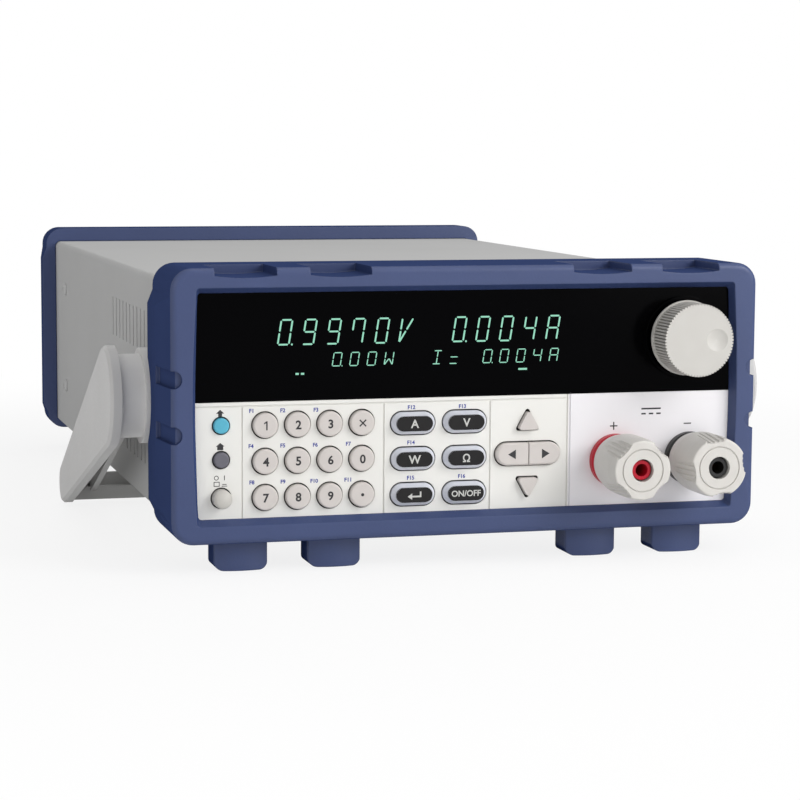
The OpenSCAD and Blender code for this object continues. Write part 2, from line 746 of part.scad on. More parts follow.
module side_key(z, r, proud, travel, dome) on_panel() forward(side_x, 0, z) {
    round_cap(r, proud, 0.6, dome);
    key_back(r + skirt, travel);
}
module shift_key() color("skyblue") side_key(shift_z, side_r, side_proud, key_travel, 0);
module local_key() color("dimgray") side_key(local_z, side_r, side_proud, key_travel, 0);
module power_button() color("ivory") side_key(power_z, power_r, power_proud - 0.9, power_travel, 0.9);

// A pill with straight lower sides and a tapered upper part
module taper_pill(w, h, inset, z0, z1) {
    l = w - h;
    r = h / 2;
    for (s = [-1, 1]) translate([s * l / 2, 0, z0]) cylinder(r1 = r, r2 = r - inset, h = z1 - z0);
    translate([-l / 2, 0, 0]) rotate([90, 0, 90]) linear_extrude(l)
        polygon([[-r, z0], [r, z0], [r - inset, z1], [inset - r, z1]]);
}

module function_key(c, r) color("lightsteelblue") on_panel() forward(fun_at(c, r)[0], 0, fun_at(c, r)[1]) {
    translate([0, 0, -skirt_front - flange_t]) linear_extrude(flange_t)
        pill(fun_w + 2 * skirt, fun_h + 2 * skirt);
    translate([0, 0, -skirt_front]) linear_extrude(skirt_front + 0.6) pill(fun_w, fun_h);
    taper_pill(fun_w, fun_h, fun_inset - 0.2, 0.6, fun_proud - fun_cap);
    translate([0, 0, fun_proud - fun_cap]) linear_extrude(fun_cap)
        pill(fun_w - 2 * fun_inset, fun_h - 2 * fun_inset);
    translate([0, 0, -stem_end(key_travel)]) cylinder(r = 2, h = stem_end(key_travel) - skirt_front);
}

module pair_key(side) color("seashell") on_panel() forward(arrow_x, 0, arrow_z) {
    intersection() {
        union() {
            translate([0, 0, -skirt_front - flange_t]) linear_extrude(flange_t)
                pill(pair_w + 2 * skirt, pair_h + 2 * skirt);
            translate([0, 0, -skirt_front]) linear_extrude(skirt_front + arrow_proud - 0.6)
                pill(pair_w, pair_h);
            taper_pill(pair_w, pair_h, 0.6, arrow_proud - 0.6, arrow_proud);
        }
        translate([side * (pair_w + split_gap) / 2, 0, 0]) cube([pair_w, pair_w, pair_w], center = true);
    }
    translate([side * pair_w / 4, 0, -stem_end(key_travel)])
        cylinder(r = 2, h = stem_end(key_travel) - skirt_front);
}
module left_key() pair_key(-1);
module right_key() pair_key(1);

module triangle_key(turn) color("seashell") on_panel() forward(arrow_x, 0, arrow_z) rotate(turn) {
    translate([0, 0, -skirt_front - flange_t]) linear_extrude(flange_t) triangle(skirt);
    translate([0, 0, -skirt_front]) linear_extrude(skirt_front + arrow_proud) triangle(0);
    translate([0, tri_off + 2.6, -stem_end(key_travel)])
        cylinder(r = 2, h = stem_end(key_travel) - skirt_front);
}
module up_key() triangle_key(0);
module down_key() triangle_key(180);

// Knob and encoder
bush_len = 4.6;
body_w = 14;

module encoder() color("silver") on_panel() difference() {
    union() {
        translate([knob_x - body_w / 2, bez_t + gap, knob_z - body_w / 2])
            cube([body_w, board_y - bez_t - gap, body_w]);
        rod_y(knob_x, knob_z, bush_r, -bush_len, bez_t + gap);
    }
    rod_y(knob_x, knob_z, shaft_r + run, -bush_len - over, board_y - over);
}

shaft_out = knob_back + knob_len - 3.4;
module encoder_shaft() color("silver") on_panel()
    rod_y(knob_x, knob_z, shaft_r, -shaft_out, board_y - over - gap);

function knurl(r) = [for (i = [0:2 * knob_teeth - 1])
    (r - (i % 2) * tooth) * [cos(180 * i / knob_teeth), sin(180 * i / knob_teeth)]];

module knob() color("gainsboro") on_panel() forward(knob_x, -knob_back, knob_z) difference() {
    rim = 1;
    boss_z = bush_len - knob_back + gap;
    union() {
        cylinder(r = knob_r, h = rim);
        intersection() {
            linear_extrude(knob_len) polygon(knurl(knob_face_r));
            rotate_extrude() polygon([[0, 0], [knob_r, 0], [knob_face_r + 0.3 * tooth, knob_len - knob_edge],
                [knob_face_r - 0.7 * tooth, knob_len], [0, knob_len]]);
        }
    }
    translate([0, 0, -over]) cylinder(r = knob_r - 2.4, h = boss_z + over);
    translate([0, 0, boss_z - over]) difference() {
        cylinder(r = knob_r - 2.4, h = knob_len - boss_z - 3);
        cylinder(r = shaft_r + 2.2, h = knob_len);
    }
    cylinder(r = shaft_r + run, h = shaft_out - knob_back + run);
    translate([dimple_off, 0, knob_len]) {
        ball = (dimple_r * dimple_r + dimple_sink * dimple_sink) / (2 * dimple_sink);
        translate([0, 0, ball - dimple_sink]) sphere(r = ball);
    }
}

// Binding posts
nut_t = 5;
nut_w = 13;
bar_t = 2;
bar_w = 12;
bar_over = 8;
bar_foot = 34;
stud_tail = bez_t + nut_t + bar_t + 4;
washer_back = collar_t + gap;
cap_back = washer_back + washer_t + gap;
cap_len = post_reach - cap_back;
rib_r = 0.45;
ribs_per_flute = 5;

module terminal_studs() color("gold") on_panel() for (x = [pos_x, neg_x]) {
    difference() {
        rod_y(x, post_z, stud_r, -stud_reach, stud_tail);
        rod_y(x, post_z, socket_r, -stud_reach - over, socket_d - stud_reach);
    }
    backward(x, bez_t, post_z) difference() {
        cylinder(d = nut_w / cos(30), h = nut_t, $fn = 6);
        translate([0, 0, -over]) cylinder(r = stud_r + run, h = nut_t + 2 * over);
    }
}

module collar(x) on_panel() difference() {
    union() {
        forward(x, 0, post_z) rotate_extrude() {
            square([collar_r, collar_t - 0.8]);
            square([collar_r - 0.8, collar_t]);
            translate([collar_r - 0.8, collar_t - 0.8]) intersection() {
                circle(r = 0.8);
                square(collar_t);
            }
        }
        rod_y(x, post_z, barrel_r, -over, bez_t);
    }
    rod_y(x, post_z, stud_r + run, -collar_t - over, bez_t + over);
}
module positive_collar() color("crimson") collar(pos_x);
module negative_collar() color("black") collar(neg_x);

sleeve_play = 0.35;

module sleeve(x) on_panel() difference() {
    rod_y(x, post_z, sleeve_r, -stud_reach - sleeve_len, -stud_reach);
    rod_y(x, post_z, socket_r + sleeve_play, -stud_reach - sleeve_len - over, -stud_reach + over);
}
module positive_sleeve() color("crimson") sleeve(pos_x);
module negative_sleeve() color("black") sleeve(neg_x);

module washer(x) color("silver") on_panel() difference() {
    rod_y(x, post_z, collar_r - 1.4, -washer_back - washer_t, -washer_back);
    rod_y(x, post_z, stud_r + gap, -washer_back - washer_t - over, -washer_back + over);
}
module positive_washer() washer(pos_x);
module negative_washer() washer(neg_x);

// The cap's flutes run out towards its back, with fine ribs along each flute
module cap_body() rotate_extrude($fn = 96) polygon(rounded(
    [[0, 0], [cap_r - 1.2, 0], [cap_r, 7], [cap_r, cap_len - 6], [cap_r - 0.5, cap_len], [0, cap_len]],
    [0, 1.2, 0, 0, 0.8, 0]));

module cap(x, turn) color("ivory") on_panel() forward(x, -cap_back, post_z) rotate(turn) difference() {
    lean = atan((cap_r - flute_in) / flute_len);
    half_chord = cap_r * sin(26);
    sag = cap_r * cos(26) - flute_in;
    flute_r = (half_chord * half_chord + sag * sag) / (2 * sag);
    intersection() {
        cap_body();
        union() {
            difference() {
                cylinder(r = cap_r + over, h = cap_len);
                for (a = [0:90:270]) rotate(a) translate([flute_in, 0, cap_len]) rotate([0, -lean, 0])
                    translate([flute_r, 0, -2 * flute_len])
                        cylinder(r = flute_r, h = 3 * flute_len, $fn = 96);
            }
            for (a = [0:90:270]) rotate(a) translate([flute_in, 0, cap_len]) rotate([0, -lean, 0])
                for (i = [0:ribs_per_flute - 1]) {
                    s = (i - (ribs_per_flute - 1) / 2) * 8;
                    translate([flute_r * (1 - cos(s)), flute_r * sin(s), -flute_len])
                        cylinder(r = rib_r, h = flute_len - 0.8);
                }
        }
    }
    translate([0, 0, -over]) cylinder(r = stud_r + run, h = cap_len + 2 * over);
    translate([0, 0, cap_len - 0.35]) difference() {
        cylinder(r = 8, h = 1);
        translate([0, 0, -over]) cylinder(r = 7.6, h = 3);
    }
}
module positive_cap() cap(pos_x, 45);
module negative_cap() cap(neg_x, 8);

module bus_bars() color("peru") on_panel() for (x = [pos_x, neg_x]) {
    y = bez_t + nut_t;
    difference() {
        translate([x - bar_w / 2, y, chip_z]) cube([bar_w, bar_t, post_z + bar_over - chip_z]);
        rod_y(x, post_z, stud_r + run, y - over, y + bar_t + over);
    }
    translate([x - bar_w / 2, y, chip_z]) cube([bar_w, bar_foot, bar_t]);
}

// Handle
hub_x = cab_w / 2;
arm_in = hub_x + arm_gap;
grip_back = arm_len * cos(arm_tilt) + grip_d / 2;
grip_foot = -arm_len * sin(arm_tilt) - arm_r2 + 2;
rib_x = arm_in - 9.5;
rib_start = arm_r1 + 8;
rib_half = 5;

module handle_hubs() color("gainsboro") on_panel() both_sides()
    translate([hub_x, hub_y, mid_z]) rotate([0, 90, 0])
    difference() {
        union() {
            cylinder(r = hub_flange_r, h = hub_flange_t);
            cylinder(r = hub_r, h = arm_gap - gap);
        }
        translate([0, 0, sheet]) cylinder(r = journal_r + run, h = arm_gap);
    }

module arm_plate(inset) rotate(-arm_tilt) {
    circle(r = arm_r1 - inset, $fn = 72);
    translate([arm_len, 0]) circle(r = arm_r2 - inset, $fn = 72);
}

module handle_arm() {
    inset = 1.1;
    hull() {
        along_x(arm_in, arm_in + arm_t - inset) arm_plate(0);
        along_x(arm_in + arm_t - 0.1, arm_in + arm_t) arm_plate(inset);
    }
    along_x(hub_x + sheet + gap, arm_in + over) circle(r = journal_r);
    // inner rib and the web that joins it to the plate
    along_x(rib_x, arm_in + over) rotate(-arm_tilt)
        translate([rib_start, -rib_t / 2]) square([arm_len - rib_start, rib_t]);
    along_x(rib_x, rib_x + rib_t) rotate(-arm_tilt) polygon(
        [[rib_start, -rib_half], [arm_len, -rib_half], [arm_len, rib_half], [rib_start, rib_half]]);
}

module grip_section() difference() {
    translate([grip_back - grip_d, grip_foot]) square([grip_d, grip_h]);
    translate([grip_back - grip_d + rib_t, grip_foot + rib_t]) square([grip_d - 2 * rib_t, grip_h]);
    translate([grip_back - grip_d - over, grip_foot + grip_front_h]) square([rib_t + 2 * over, grip_h]);
}

module handle() color("gainsboro") on_panel() translate([0, hub_y, mid_z]) {
    both_sides() handle_arm();
    along_x(-arm_in - over, arm_in + over) grip_section();
    for (i = [1:grip_ribs]) {
        x = (2 * i / (grip_ribs + 1) - 1) * arm_in;
        translate([x - 0.8, grip_back - grip_d + 0.5, grip_foot + 0.5])
            cube([1.6, grip_d - 1, grip_front_h - 0.5]);
    }
}

// Power stage
board_edge = 4.9;
board_half = inner_w / 2 - tray_t - board_edge;
board_front = 18;
board_mid = 205;
sink_end = fan_y - 1.5;
sink_base = 6;
core = [60, 34, 50];
coil = [38, 54, 34];
ear_l = 8;
ear_t = 2;
core_x = ear_l + core[0] / 2 - board_half;
core_y = 258;
board_step = core_x + core[0] / 2 + 4;
pillar_x = board_half - 4;
pillars = [[-pillar_x, board_front + 8], [-pillar_x, board_mid - 9], [pillar_x, board_front + 42],
    [pillar_x, board_mid + 45], [board_step + 8, board_mid - 9], [board_step + 28, board_mid + 105]];

// Full width in front, and beside the transformer at the back
module power_board() color("darkgreen") on_panel() translate([0, 0, pcb_z]) linear_extrude(pcb_t) {
    translate([-board_half, board_front]) square([2 * board_half, board_mid - board_front]);
    translate([board_step, board_mid - over]) square([board_half - board_step, sink_end - board_mid + over]);
}

chip_w = 16;
chip_l = 20;
chip_x = 24;
chip_y = 15;
chip_step = 46;
lead = [0.9, 6.2, 0.6];
lead_step = 5.2;

module transistors() color("dimgray") on_panel() for (x = [-chip_x, chip_x], i = [0:3])
    translate([fan_x + x, sink_y + chip_y + i * chip_step, chip_z]) {
        translate([-chip_w / 2, 0, 0]) cube([chip_w, chip_l, chip_t]);
        for (j = [-1:1]) translate([j * lead_step - lead[0] / 2, 0.2 - lead[1], 0]) cube(lead);
    }

module heatsink() color("lightgray") on_panel()
    along_y(sink_y, sink_end) translate([fan_x - sink_w / 2, sink_z]) {
    square([sink_w, sink_base]);
    for (i = [0:fin_n - 1])
        translate([i * (sink_w - fin_t) / (fin_n - 1), 0]) square([fin_t, sink_top - sink_z]);
}

module transformer() color("darkslategray") on_panel() translate([core_x, core_y, tray_t]) {
    translate([-core[0] / 2, -core[1] / 2, 0]) cube(core);
    translate([-coil[0] / 2, -coil[1] / 2, (core[2] - coil[2]) / 2]) cube(coil);
    for (s = [-1, 1]) difference() {
        translate([s * (core[0] + ear_l) / 2 - ear_l / 2 - over, -core[1] / 2, 0])
            cube([ear_l + 2 * over, core[1], ear_t]);
        translate([s * (core[0] + ear_l) / 2, 0, -over]) cylinder(r = 2, h = ear_t + 2 * over);
    }
}

// Fan
fan_wall = 2;
fan_bore = fan / 2 - fan_wall;
pin_r = 1.5;
rotor_hub = 17;
rotor_r = fan_bore - 1.2;
strut_t = 3;
blade_pitch = 48;

module fan_frame() color("black") on_panel() translate([fan_x, 0, mid_z]) {
    difference() {
        along_y(fan_y, fan_y + fan_t) polygon(rounded(box4(fan, -fan / 2, fan / 2), [4, 4, 4, 4]));
        rod_y(0, 0, fan_bore, fan_y - over, fan_y + fan_t + over);
        for (x = [-1, 1], z = [-1, 1])
            rod_y(x * (fan / 2 - 4.25), z * (fan / 2 - 4.25), 2.1, fan_y - over, fan_y + fan_t + over);
    }
    along_y(fan_y, fan_y + strut_t) {
        circle(r = rotor_hub);
        for (a = [20, 110]) rotate(a) square([2 * fan_bore + 1, 4], center = true);
    }
    rod_y(0, 0, pin_r, fan_y, fan_y + fan_t - 4);
}

module fan_rotor() color("black") on_panel() {
    y0 = fan_y + strut_t + gap;
    len = fan_t - strut_t - 1.4;
    translate([fan_x, 0, mid_z]) difference() {
        union() {
            rod_y(0, 0, rotor_hub, y0, y0 + len);
            intersection() {
                rod_y(0, 0, rotor_r, y0 + 1, y0 + len - 1);
                backward(0, y0 + len / 2, 0) for (i = [0:fan_blades - 1]) rotate(i * 360 / fan_blades)
                    translate([rotor_hub - 1, 0, 0]) rotate([blade_pitch, 0, 0])
                        translate([0, -0.8, -fan_t]) cube([rotor_r, 1.6, 2 * fan_t]);
            }
        }
        rod_y(0, 0, pin_r + run, y0 - over, fan_y + fan_t - 4 + gap);
    }
}

// Rear connectors
inlet_body_w = 28;
inlet_body_h = 34;
inlet_flange_t = 3;
inlet_depth = 24;
inlet_ear_x = 20;
c14_w = 24.2;
c14_h = 16.6;
c14_up = 6;
c14_depth = 17;
fuse_w = 21;
fuse_h = 6.4;
fuse_down = 10.6;
fuse_plate = 1.8;
fuse_lip_x = 1.5;
fuse_lip_z = 1;
fuse_wall = 3;
fuse_end = 1;
fuse_floor = 1.2;
c14_cut = 4.5;

module c14_outline() polygon(rounded([[-c14_w / 2, -c14_h / 2 + c14_cut], [-c14_w / 2 + c14_cut, -c14_h / 2],
    [c14_w / 2 - c14_cut, -c14_h / 2], [c14_w / 2, -c14_h / 2 + c14_cut], [c14_w / 2, c14_h / 2],
    [-c14_w / 2, c14_h / 2]], [1, 1, 1, 1, 1, 1], 3));

module inlet_flange() {
    w = inlet_ear_x + 5;
    x = inlet_body_w / 2 + 2;
    z = inlet_body_h / 2 + 2;
    ear = 5;
    polygon(rounded([[-w, -ear], [-x, -z], [x, -z], [w, -ear], [w, ear], [x, z], [-x, z], [-w, ear]],
        [4, 3, 3, 4, 4, 3, 3, 4], 4));
}

module mains_inlet() color("black") on_panel() translate([inlet_x, cab_d, inlet_z]) {
    out = inlet_flange_t;
    difference() {
        union() {
            along_y(0, out) inlet_flange();
            along_y(-inlet_depth, 0.1) square([inlet_body_w, inlet_body_h], center = true);
        }
        along_y(out - c14_depth, out + over) translate([0, c14_up]) c14_outline();
        along_y(out - fuse_pull - 2, out + over) translate([0, -fuse_down])
            square([fuse_w, fuse_h], center = true);
        for (s = [-1, 1]) rod_y(s * inlet_ear_x, 0, screw_r + fit, -over, out + over);
    }
    for (p = [[-7, -1.6], [7, -1.6], [0, 2.6]])
        translate([p[0] - 1, out - c14_depth - 1, c14_up + p[1] - 2]) cube([2, c14_depth - 5, 4]);
}

module fuse_drawer() color("dimgray") on_panel()
    translate([inlet_x, cab_d + inlet_flange_t, inlet_z - fuse_down]) {
        along_y(gap, gap + fuse_plate)
            polygon(rounded(box4(fuse_w + 2 * fuse_lip_x, -fuse_h / 2 - fuse_lip_z, fuse_h / 2 + fuse_lip_z),
                [1, 1, 1, 1]));
        difference() {
            along_y(-fuse_pull - fuse_end, gap + 0.1) square([fuse_w - 2 * gap, fuse_h - 2 * gap], center = true);
            translate([-fuse_w / 2 + fuse_wall, -fuse_pull + fuse_end, -fuse_floor])
                cube([fuse_w - 2 * fuse_wall, fuse_pull - fuse_wall - fuse_end, fuse_h]);
        }
    }

port_w = 31;
port_h = 12.6;
port_shell_w = 17;
port_shell_h = 8.4;
port_pitch = 25;
port_plate_t = 1.2;
port_ear = 2;
port_in = 10;
port_out = 5.8;
port_floor = 0.2;
port_wall = 0.6;
jack_r = 1.3;
jack_flats = 5;
jack_seat = 1;
jack_len = 4.8;
port_pin_pitch = 2.76;
port_pin_row = 1.4;
port_pin_r = 0.5;
port_pin_len = 5.2;
cut_past = 1;

module serial_port() color("silver") on_panel() translate([port_x, cab_d, port_z]) {
    difference() {
        union() {
            along_y(0, port_plate_t) pill(port_w + 2 * port_ear, port_h);
            along_y(-port_in, port_out) pill(port_shell_w, port_shell_h);
            for (s = [-1, 1]) backward(s * port_pitch / 2, jack_seat, 0)
                cylinder(d = jack_flats / cos(30), h = jack_len, $fn = 6);
        }
        along_y(port_floor, port_out + cut_past) pill(port_shell_w - 2 * port_wall, port_shell_h - 2 * port_wall);
        for (s = [-1, 1]) rod_y(s * port_pitch / 2, 0, jack_r, -over, jack_seat + jack_len + cut_past);
    }
    for (i = [-2:2]) rod_y(i * port_pin_pitch, port_pin_row, port_pin_r, 0, port_pin_len);
    for (i = [-1.5:1.5]) rod_y(i * port_pin_pitch, -port_pin_row, port_pin_r, 0, port_pin_len);
}

sense_w = 24;
sense_h = 11;
sense_n = 4;
sense_in = 9;
sense_out = 7;
sense_rim_t = 1.5;
sense_rim_x = 2;
sense_rim_z = 1.5;
sense_pitch = 5.08;
sense_wire_r = 1.6;
sense_wire_down = 2;
sense_screw_r = 1.2;
sense_screw_up = 3;
sense_screw_deep = 3;

module sense_block() color("seagreen") on_panel() translate([port_x, cab_d, sense_z]) difference() {
    union() {
        along_y(-sense_in, sense_out) square([sense_w, sense_h], center = true);
        along_y(0, sense_rim_t) square([sense_w + 2 * sense_rim_x, sense_h + 2 * sense_rim_z], center = true);
    }
    for (i = [0:sense_n - 1]) {
        x = (i - (sense_n - 1) / 2) * sense_pitch;
        rod_y(x, -sense_wire_down, sense_wire_r, -cut_past, sense_out + cut_past);
        rod_y(x, sense_screw_up, sense_screw_r, sense_out - sense_screw_deep, sense_out + cut_past);
    }
}

base_tray();
top_cover();
rear_panel();
front_bumper();
rear_bumper();
front_bezel();
display_window();
display_tube();
front_board();
encoder();
power_board();
heatsink();
transistors();
bus_bars();
transformer();
mains_inlet();
fan_frame();
terminal_studs();
positive_collar();
negative_collar();
positive_sleeve();
negative_sleeve();
handle_hubs();
case_screws();
serial_port();
sense_block();
knob();
encoder_shaft();
power_button();
number_key(0, 0);  // key_1
number_key(1, 0);  // key_2
number_key(2, 0);  // key_3
number_key(3, 0);  // key_escape
number_key(0, 1);  // key_4
number_key(1, 1);  // key_5
number_key(2, 1);  // key_6
number_key(3, 1);  // key_0
number_key(0, 2);  // key_7
number_key(1, 2);  // key_8
number_key(2, 2);  // key_9
number_key(3, 2);  // key_point
function_key(0, 0);  // current_key
function_key(1, 0);  // voltage_key
function_key(0, 1);  // watt_key
function_key(1, 1);  // resistance_key
function_key(0, 2);  // enter_key
function_key(1, 2);  // load_key
up_key();
down_key();
left_key();
right_key();
shift_key();
local_key();
handle();
fan_rotor();
positive_cap();
negative_cap();
positive_washer();
negative_washer();
fuse_drawer();
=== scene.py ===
"""Finishes, key legends, display reading and studio for the bench electronic load."""
import math

import bmesh
import bpy
from mathutils import Matrix, Vector


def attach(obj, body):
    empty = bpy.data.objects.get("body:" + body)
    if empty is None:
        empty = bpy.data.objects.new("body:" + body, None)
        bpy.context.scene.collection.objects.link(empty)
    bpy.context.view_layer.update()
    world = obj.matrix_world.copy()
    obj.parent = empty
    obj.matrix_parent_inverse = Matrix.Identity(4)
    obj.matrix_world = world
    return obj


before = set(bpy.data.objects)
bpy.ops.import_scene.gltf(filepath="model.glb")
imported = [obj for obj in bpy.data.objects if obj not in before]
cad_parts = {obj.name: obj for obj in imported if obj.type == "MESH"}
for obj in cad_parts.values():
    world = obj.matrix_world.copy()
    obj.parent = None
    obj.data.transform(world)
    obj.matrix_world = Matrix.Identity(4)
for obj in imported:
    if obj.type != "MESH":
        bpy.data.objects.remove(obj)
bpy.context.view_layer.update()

MM = 0.001
# Lift of the panel drawings into the frame: y = 0 on the panel's face, z = 0 under the cabinet
FACE_Y = -169.25
CAB_Z = 16.0
INK = 0.035         # thickness of a print
SINK = 0.01         # how far a print's back lies in the surface that carries it
LACQUER = 0.05      # thickness of the lacquer on a function key

# Places on the panel in millimetres, as in the part's source
NUM_X, NUM_Z, NUM_DX, ROW_DZ = -77.3, 37.7, 12.0, 13.18
NUM_TOP = 2.0
FUN_X, FUN_Z, FUN_DX = -21.9, 37.0, 19.8
FUN_W, FUN_H, FUN_INSET, FUN_TOP, FUN_CAP = 16.5, 8.2, 1.35, 3.0, 0.5
ARROW_X, ARROW_Z, ARROW_DX, ARROW_TOP = 22.4, 24.4, 6.6, 2.2
INPUT_X = 38.55     # left edge of the input field
SHADE_FROM_DEPTH = 0.6      # depth behind the panel's face past which the gaps round the keys get painted shade
ROUND = 0.2         # rounding of an added cap's front edge
CAB_D = 358.0       # back of the rear panel, behind the panel's face

# Heights of the printed letters, and how much their strokes are thickened
DIGIT_TALL, UNIT_TALL, SWITCH_TALL, SECOND_TALL = 3.3, 3.1, 2.3, 1.5
DIGIT_BOLD, UNIT_BOLD, SECOND_BOLD = 0.028, 0.02, 0.03

# Outlines of the printed signs, in millimetres from their middle
POINT_SIGN = [(0.6 * math.cos(a), 0.6 * math.sin(a)) for a in [i * math.pi / 12 for i in range(24)]]
ONE_SIGN = [(0.55, -1.65), (0.55, 1.65), (0.2, 1.65), (-0.75, 1.0), (-0.75, 0.5), (0.05, 0.95),
            (0.05, -1.65)]
RETURN_SIGN = [(-2.6, -0.5), (-0.9, 0.7), (-0.9, -0.2), (2.0, -0.2), (2.0, 1.3), (2.6, 1.3), (2.6, -0.8),
               (-0.9, -0.8), (-0.9, -1.7)]
RIGHT_SIGN = [(1.5, 0), (-1.5, 1.8), (-1.5, -1.8)]
UP_SIGN = [(0, 1.3), (-1.5, -0.1), (-0.7, -0.1), (-0.7, -1.2), (0.7, -1.2), (0.7, -0.1), (1.5, -0.1)]
HOUSE_SIGN = [(0, 1.4), (-1.6, 0.1), (-1.1, 0.1), (-1.1, -1.2), (1.1, -1.2), (1.1, 0.1), (1.6, 0.1)]
CROSS_REACH, CROSS_W = 1.2, 0.5


def place(x, y, z):
    """A point of the panel drawing as a point of the frame, in metres."""
    return Vector((x, y + FACE_Y, z + CAB_Z)) * MM


# Materials


def rgb(code):
    """An sRGB hex colour in linear light."""
    parts = [int(code[i:i + 2], 16) / 255 for i in (1, 3, 5)]
    return [c / 12.92 if c <= 0.04045 else ((c + 0.055) / 1.055) ** 2.4 for c in parts] + [1.0]


def add(tree, kind, inputs=None, **settings):
    """Adds a node. Settings go on the node; an input that is a socket is linked, any other is set."""
    made = tree.nodes.new(kind)
    for key, value in settings.items():
        setattr(made, key, value)
    for key, value in (inputs or {}).items():
        if isinstance(value, bpy.types.NodeSocket):
            tree.links.new(value, made.inputs[key])
        else:
            made.inputs[key].default_value = value
    return made


def start(name):
    """A new material's tree, its surface shader, and its coordinates in metres."""
    made = bpy.data.materials.new(name)
    made.use_nodes = True
    tree = made.node_tree
    shader = tree.nodes["Principled BSDF"]
    return made, tree, shader, add(tree, "ShaderNodeTexCoord").outputs["Object"]


def grain(tree, where, size_mm, detail=2.0, stretch=(1, 1, 1)):
    """Noise whose patches are about size_mm across."""
    spot = add(tree, "ShaderNodeMapping", {"Vector": where, "Scale": stretch})
    return add(tree, "ShaderNodeTexNoise",
               {"Vector": spot.outputs[0], "Scale": 1 / (size_mm * MM), "Detail": detail}).outputs["Fac"]


def finish(name, colour, shade, rough, patch_mm, grit_mm, bump_mm, specular=0.5, round_mm=0.3,
           rough_span=0.08, stretch=(1, 1, 1), metallic=0.0, dull=False):
    """A solid finish: two tones in soft patches, a grit that breaks up the gloss, and edges that catch light.
    A dull one loses its shine at a flat angle, as a coarse surface does. Sizes are in millimetres."""
    made, tree, shader, where = start(name)
    patch = grain(tree, where, patch_mm, 3.0, stretch)
    grit = grain(tree, where, grit_mm, 2.0, stretch)
    tone = add(tree, "ShaderNodeMix", {"Factor": patch, 6: rgb(colour), 7: rgb(shade)}, data_type="RGBA")
    gloss = add(tree, "ShaderNodeMapRange", {"Value": grit, "From Min": 0.3, "From Max": 0.7,
                                             "To Min": rough - rough_span, "To Max": rough + rough_span})
    soft = add(tree, "ShaderNodeBevel", {"Radius": round_mm * MM}, samples=4)
    bump = add(tree, "ShaderNodeBump", {"Height": grit, "Distance": bump_mm * MM, "Strength": 1.0,
                                        "Normal": soft.outputs[0]})
    tree.links.new(tone.outputs[2], shader.inputs["Base Color"])
    tree.links.new(gloss.outputs[0], shader.inputs["Roughness"])
    tree.links.new(bump.outputs[0], shader.inputs["Normal"])
    shader.inputs["Specular IOR Level"].default_value = specular
    shader.inputs["Metallic"].default_value = metallic
    if dull:
        slope = add(tree, "ShaderNodeLayerWeight", {"Blend": 0.5}).outputs["Facing"]
        shine = add(tree, "ShaderNodeMapRange", {"Value": slope, "From Min": 0.2, "From Max": 0.7,
                                                 "To Min": specular, "To Max": 0.0})
        tree.links.new(shine.outputs[0], shader.inputs["Specular IOR Level"])
    return made


# The real grits are 0.05 to 0.2 mm, too fine to show here, so they are drawn at 0.3 to 0.9 mm

# Sheet steel with a fine textured powder coat: dull, with a faint orange peel
powder_coat = finish("powder_coated_steel", "#c8c8c8", "#c1c1c0", 0.55, 60, 0.9, 0.05, 0.3, dull=True)
# Galvanised sheet: soft metallic shine in spangles
zinc = finish("zinc_plated_steel", "#b9bab8", "#a3a5a4", 0.35, 6, 0.5, 0.01, metallic=1.0)
# Thermoplastic rubber, moulded in a spark-eroded tool: matte blue with a dry bloom
rubber = finish("moulded_blue_rubber", "#3b4973", "#344168", 0.42, 35, 0.8, 0.04, 0.45, 0.8, dull=True)
# Fine-textured ABS: warm white, soft highlights
panel_abs = finish("ivory_abs", "#e9e8e4", "#e3e2dd", 0.5, 40, 0.6, 0.012, 0.4, 0.25)
# The knob's own batch of it, a little greyer
knob_abs = finish("knob_abs", "#c6c4bf", "#bfbcb7", 0.45, 8, 0.5, 0.012, 0.4, 0.12)
# Frosted ABS of the power button: a greyer white with a soft sheen
frosted_abs = finish("frosted_abs", "#c9c6c0", "#bdbab4", 0.42, 3, 0.4, 0.01, 0.4, 0.25)
# Glass-filled nylon of the handle: light grey with faint flow marks
handle_nylon = finish("grey_nylon", "#c9c8c7", "#c0bfbe", 0.5, 25, 0.7, 0.02, 0.4, 0.5)
# The same nylon on the hubs, painted a shade lighter for the light that falls on them
hub_lit_nylon = finish("grey_nylon_painted_lighter", "#dddcdb", "#d5d4d3", 0.5, 25, 0.7, 0.02, 0.4, 0.5)
# Nylon of the terminal caps: creamy, waxy highlights
cap_nylon = finish("cream_nylon", "#d2cfca", "#c9c6c1", 0.38, 6, 0.5, 0.01, 0.45, 0.25)
# Silicone keypad rubber: satin, slightly pink white
key_silicone = finish("satin_silicone", "#d0cac6", "#c9c3bf", 0.5, 5, 0.4, 0.008, 0.35, 0.25)
# Translucent silicone skirt of the function keys: cool grey
skirt_silicone = finish("cool_grey_silicone", "#d4d6de", "#c7cad4", 0.42, 4, 0.4, 0.006, 0.4, 0.2)
# Coloured silicone of the two round keys: full, even colour, satin
sky_silicone = finish("sky_silicone", "#5cb6ce", "#52aac4", 0.45, 3, 0.4, 0.006, 0.4, 0.2)
grey_silicone = finish("grey_silicone", "#696871", "#605f68", 0.45, 3, 0.4, 0.006, 0.4, 0.2)
# Lacquer on the function keys: near black, satin
black_lacquer = finish("black_lacquer", "#222122", "#1b1a1b", 0.4, 3, 0.3, 0.004, 0.2, 0.15)
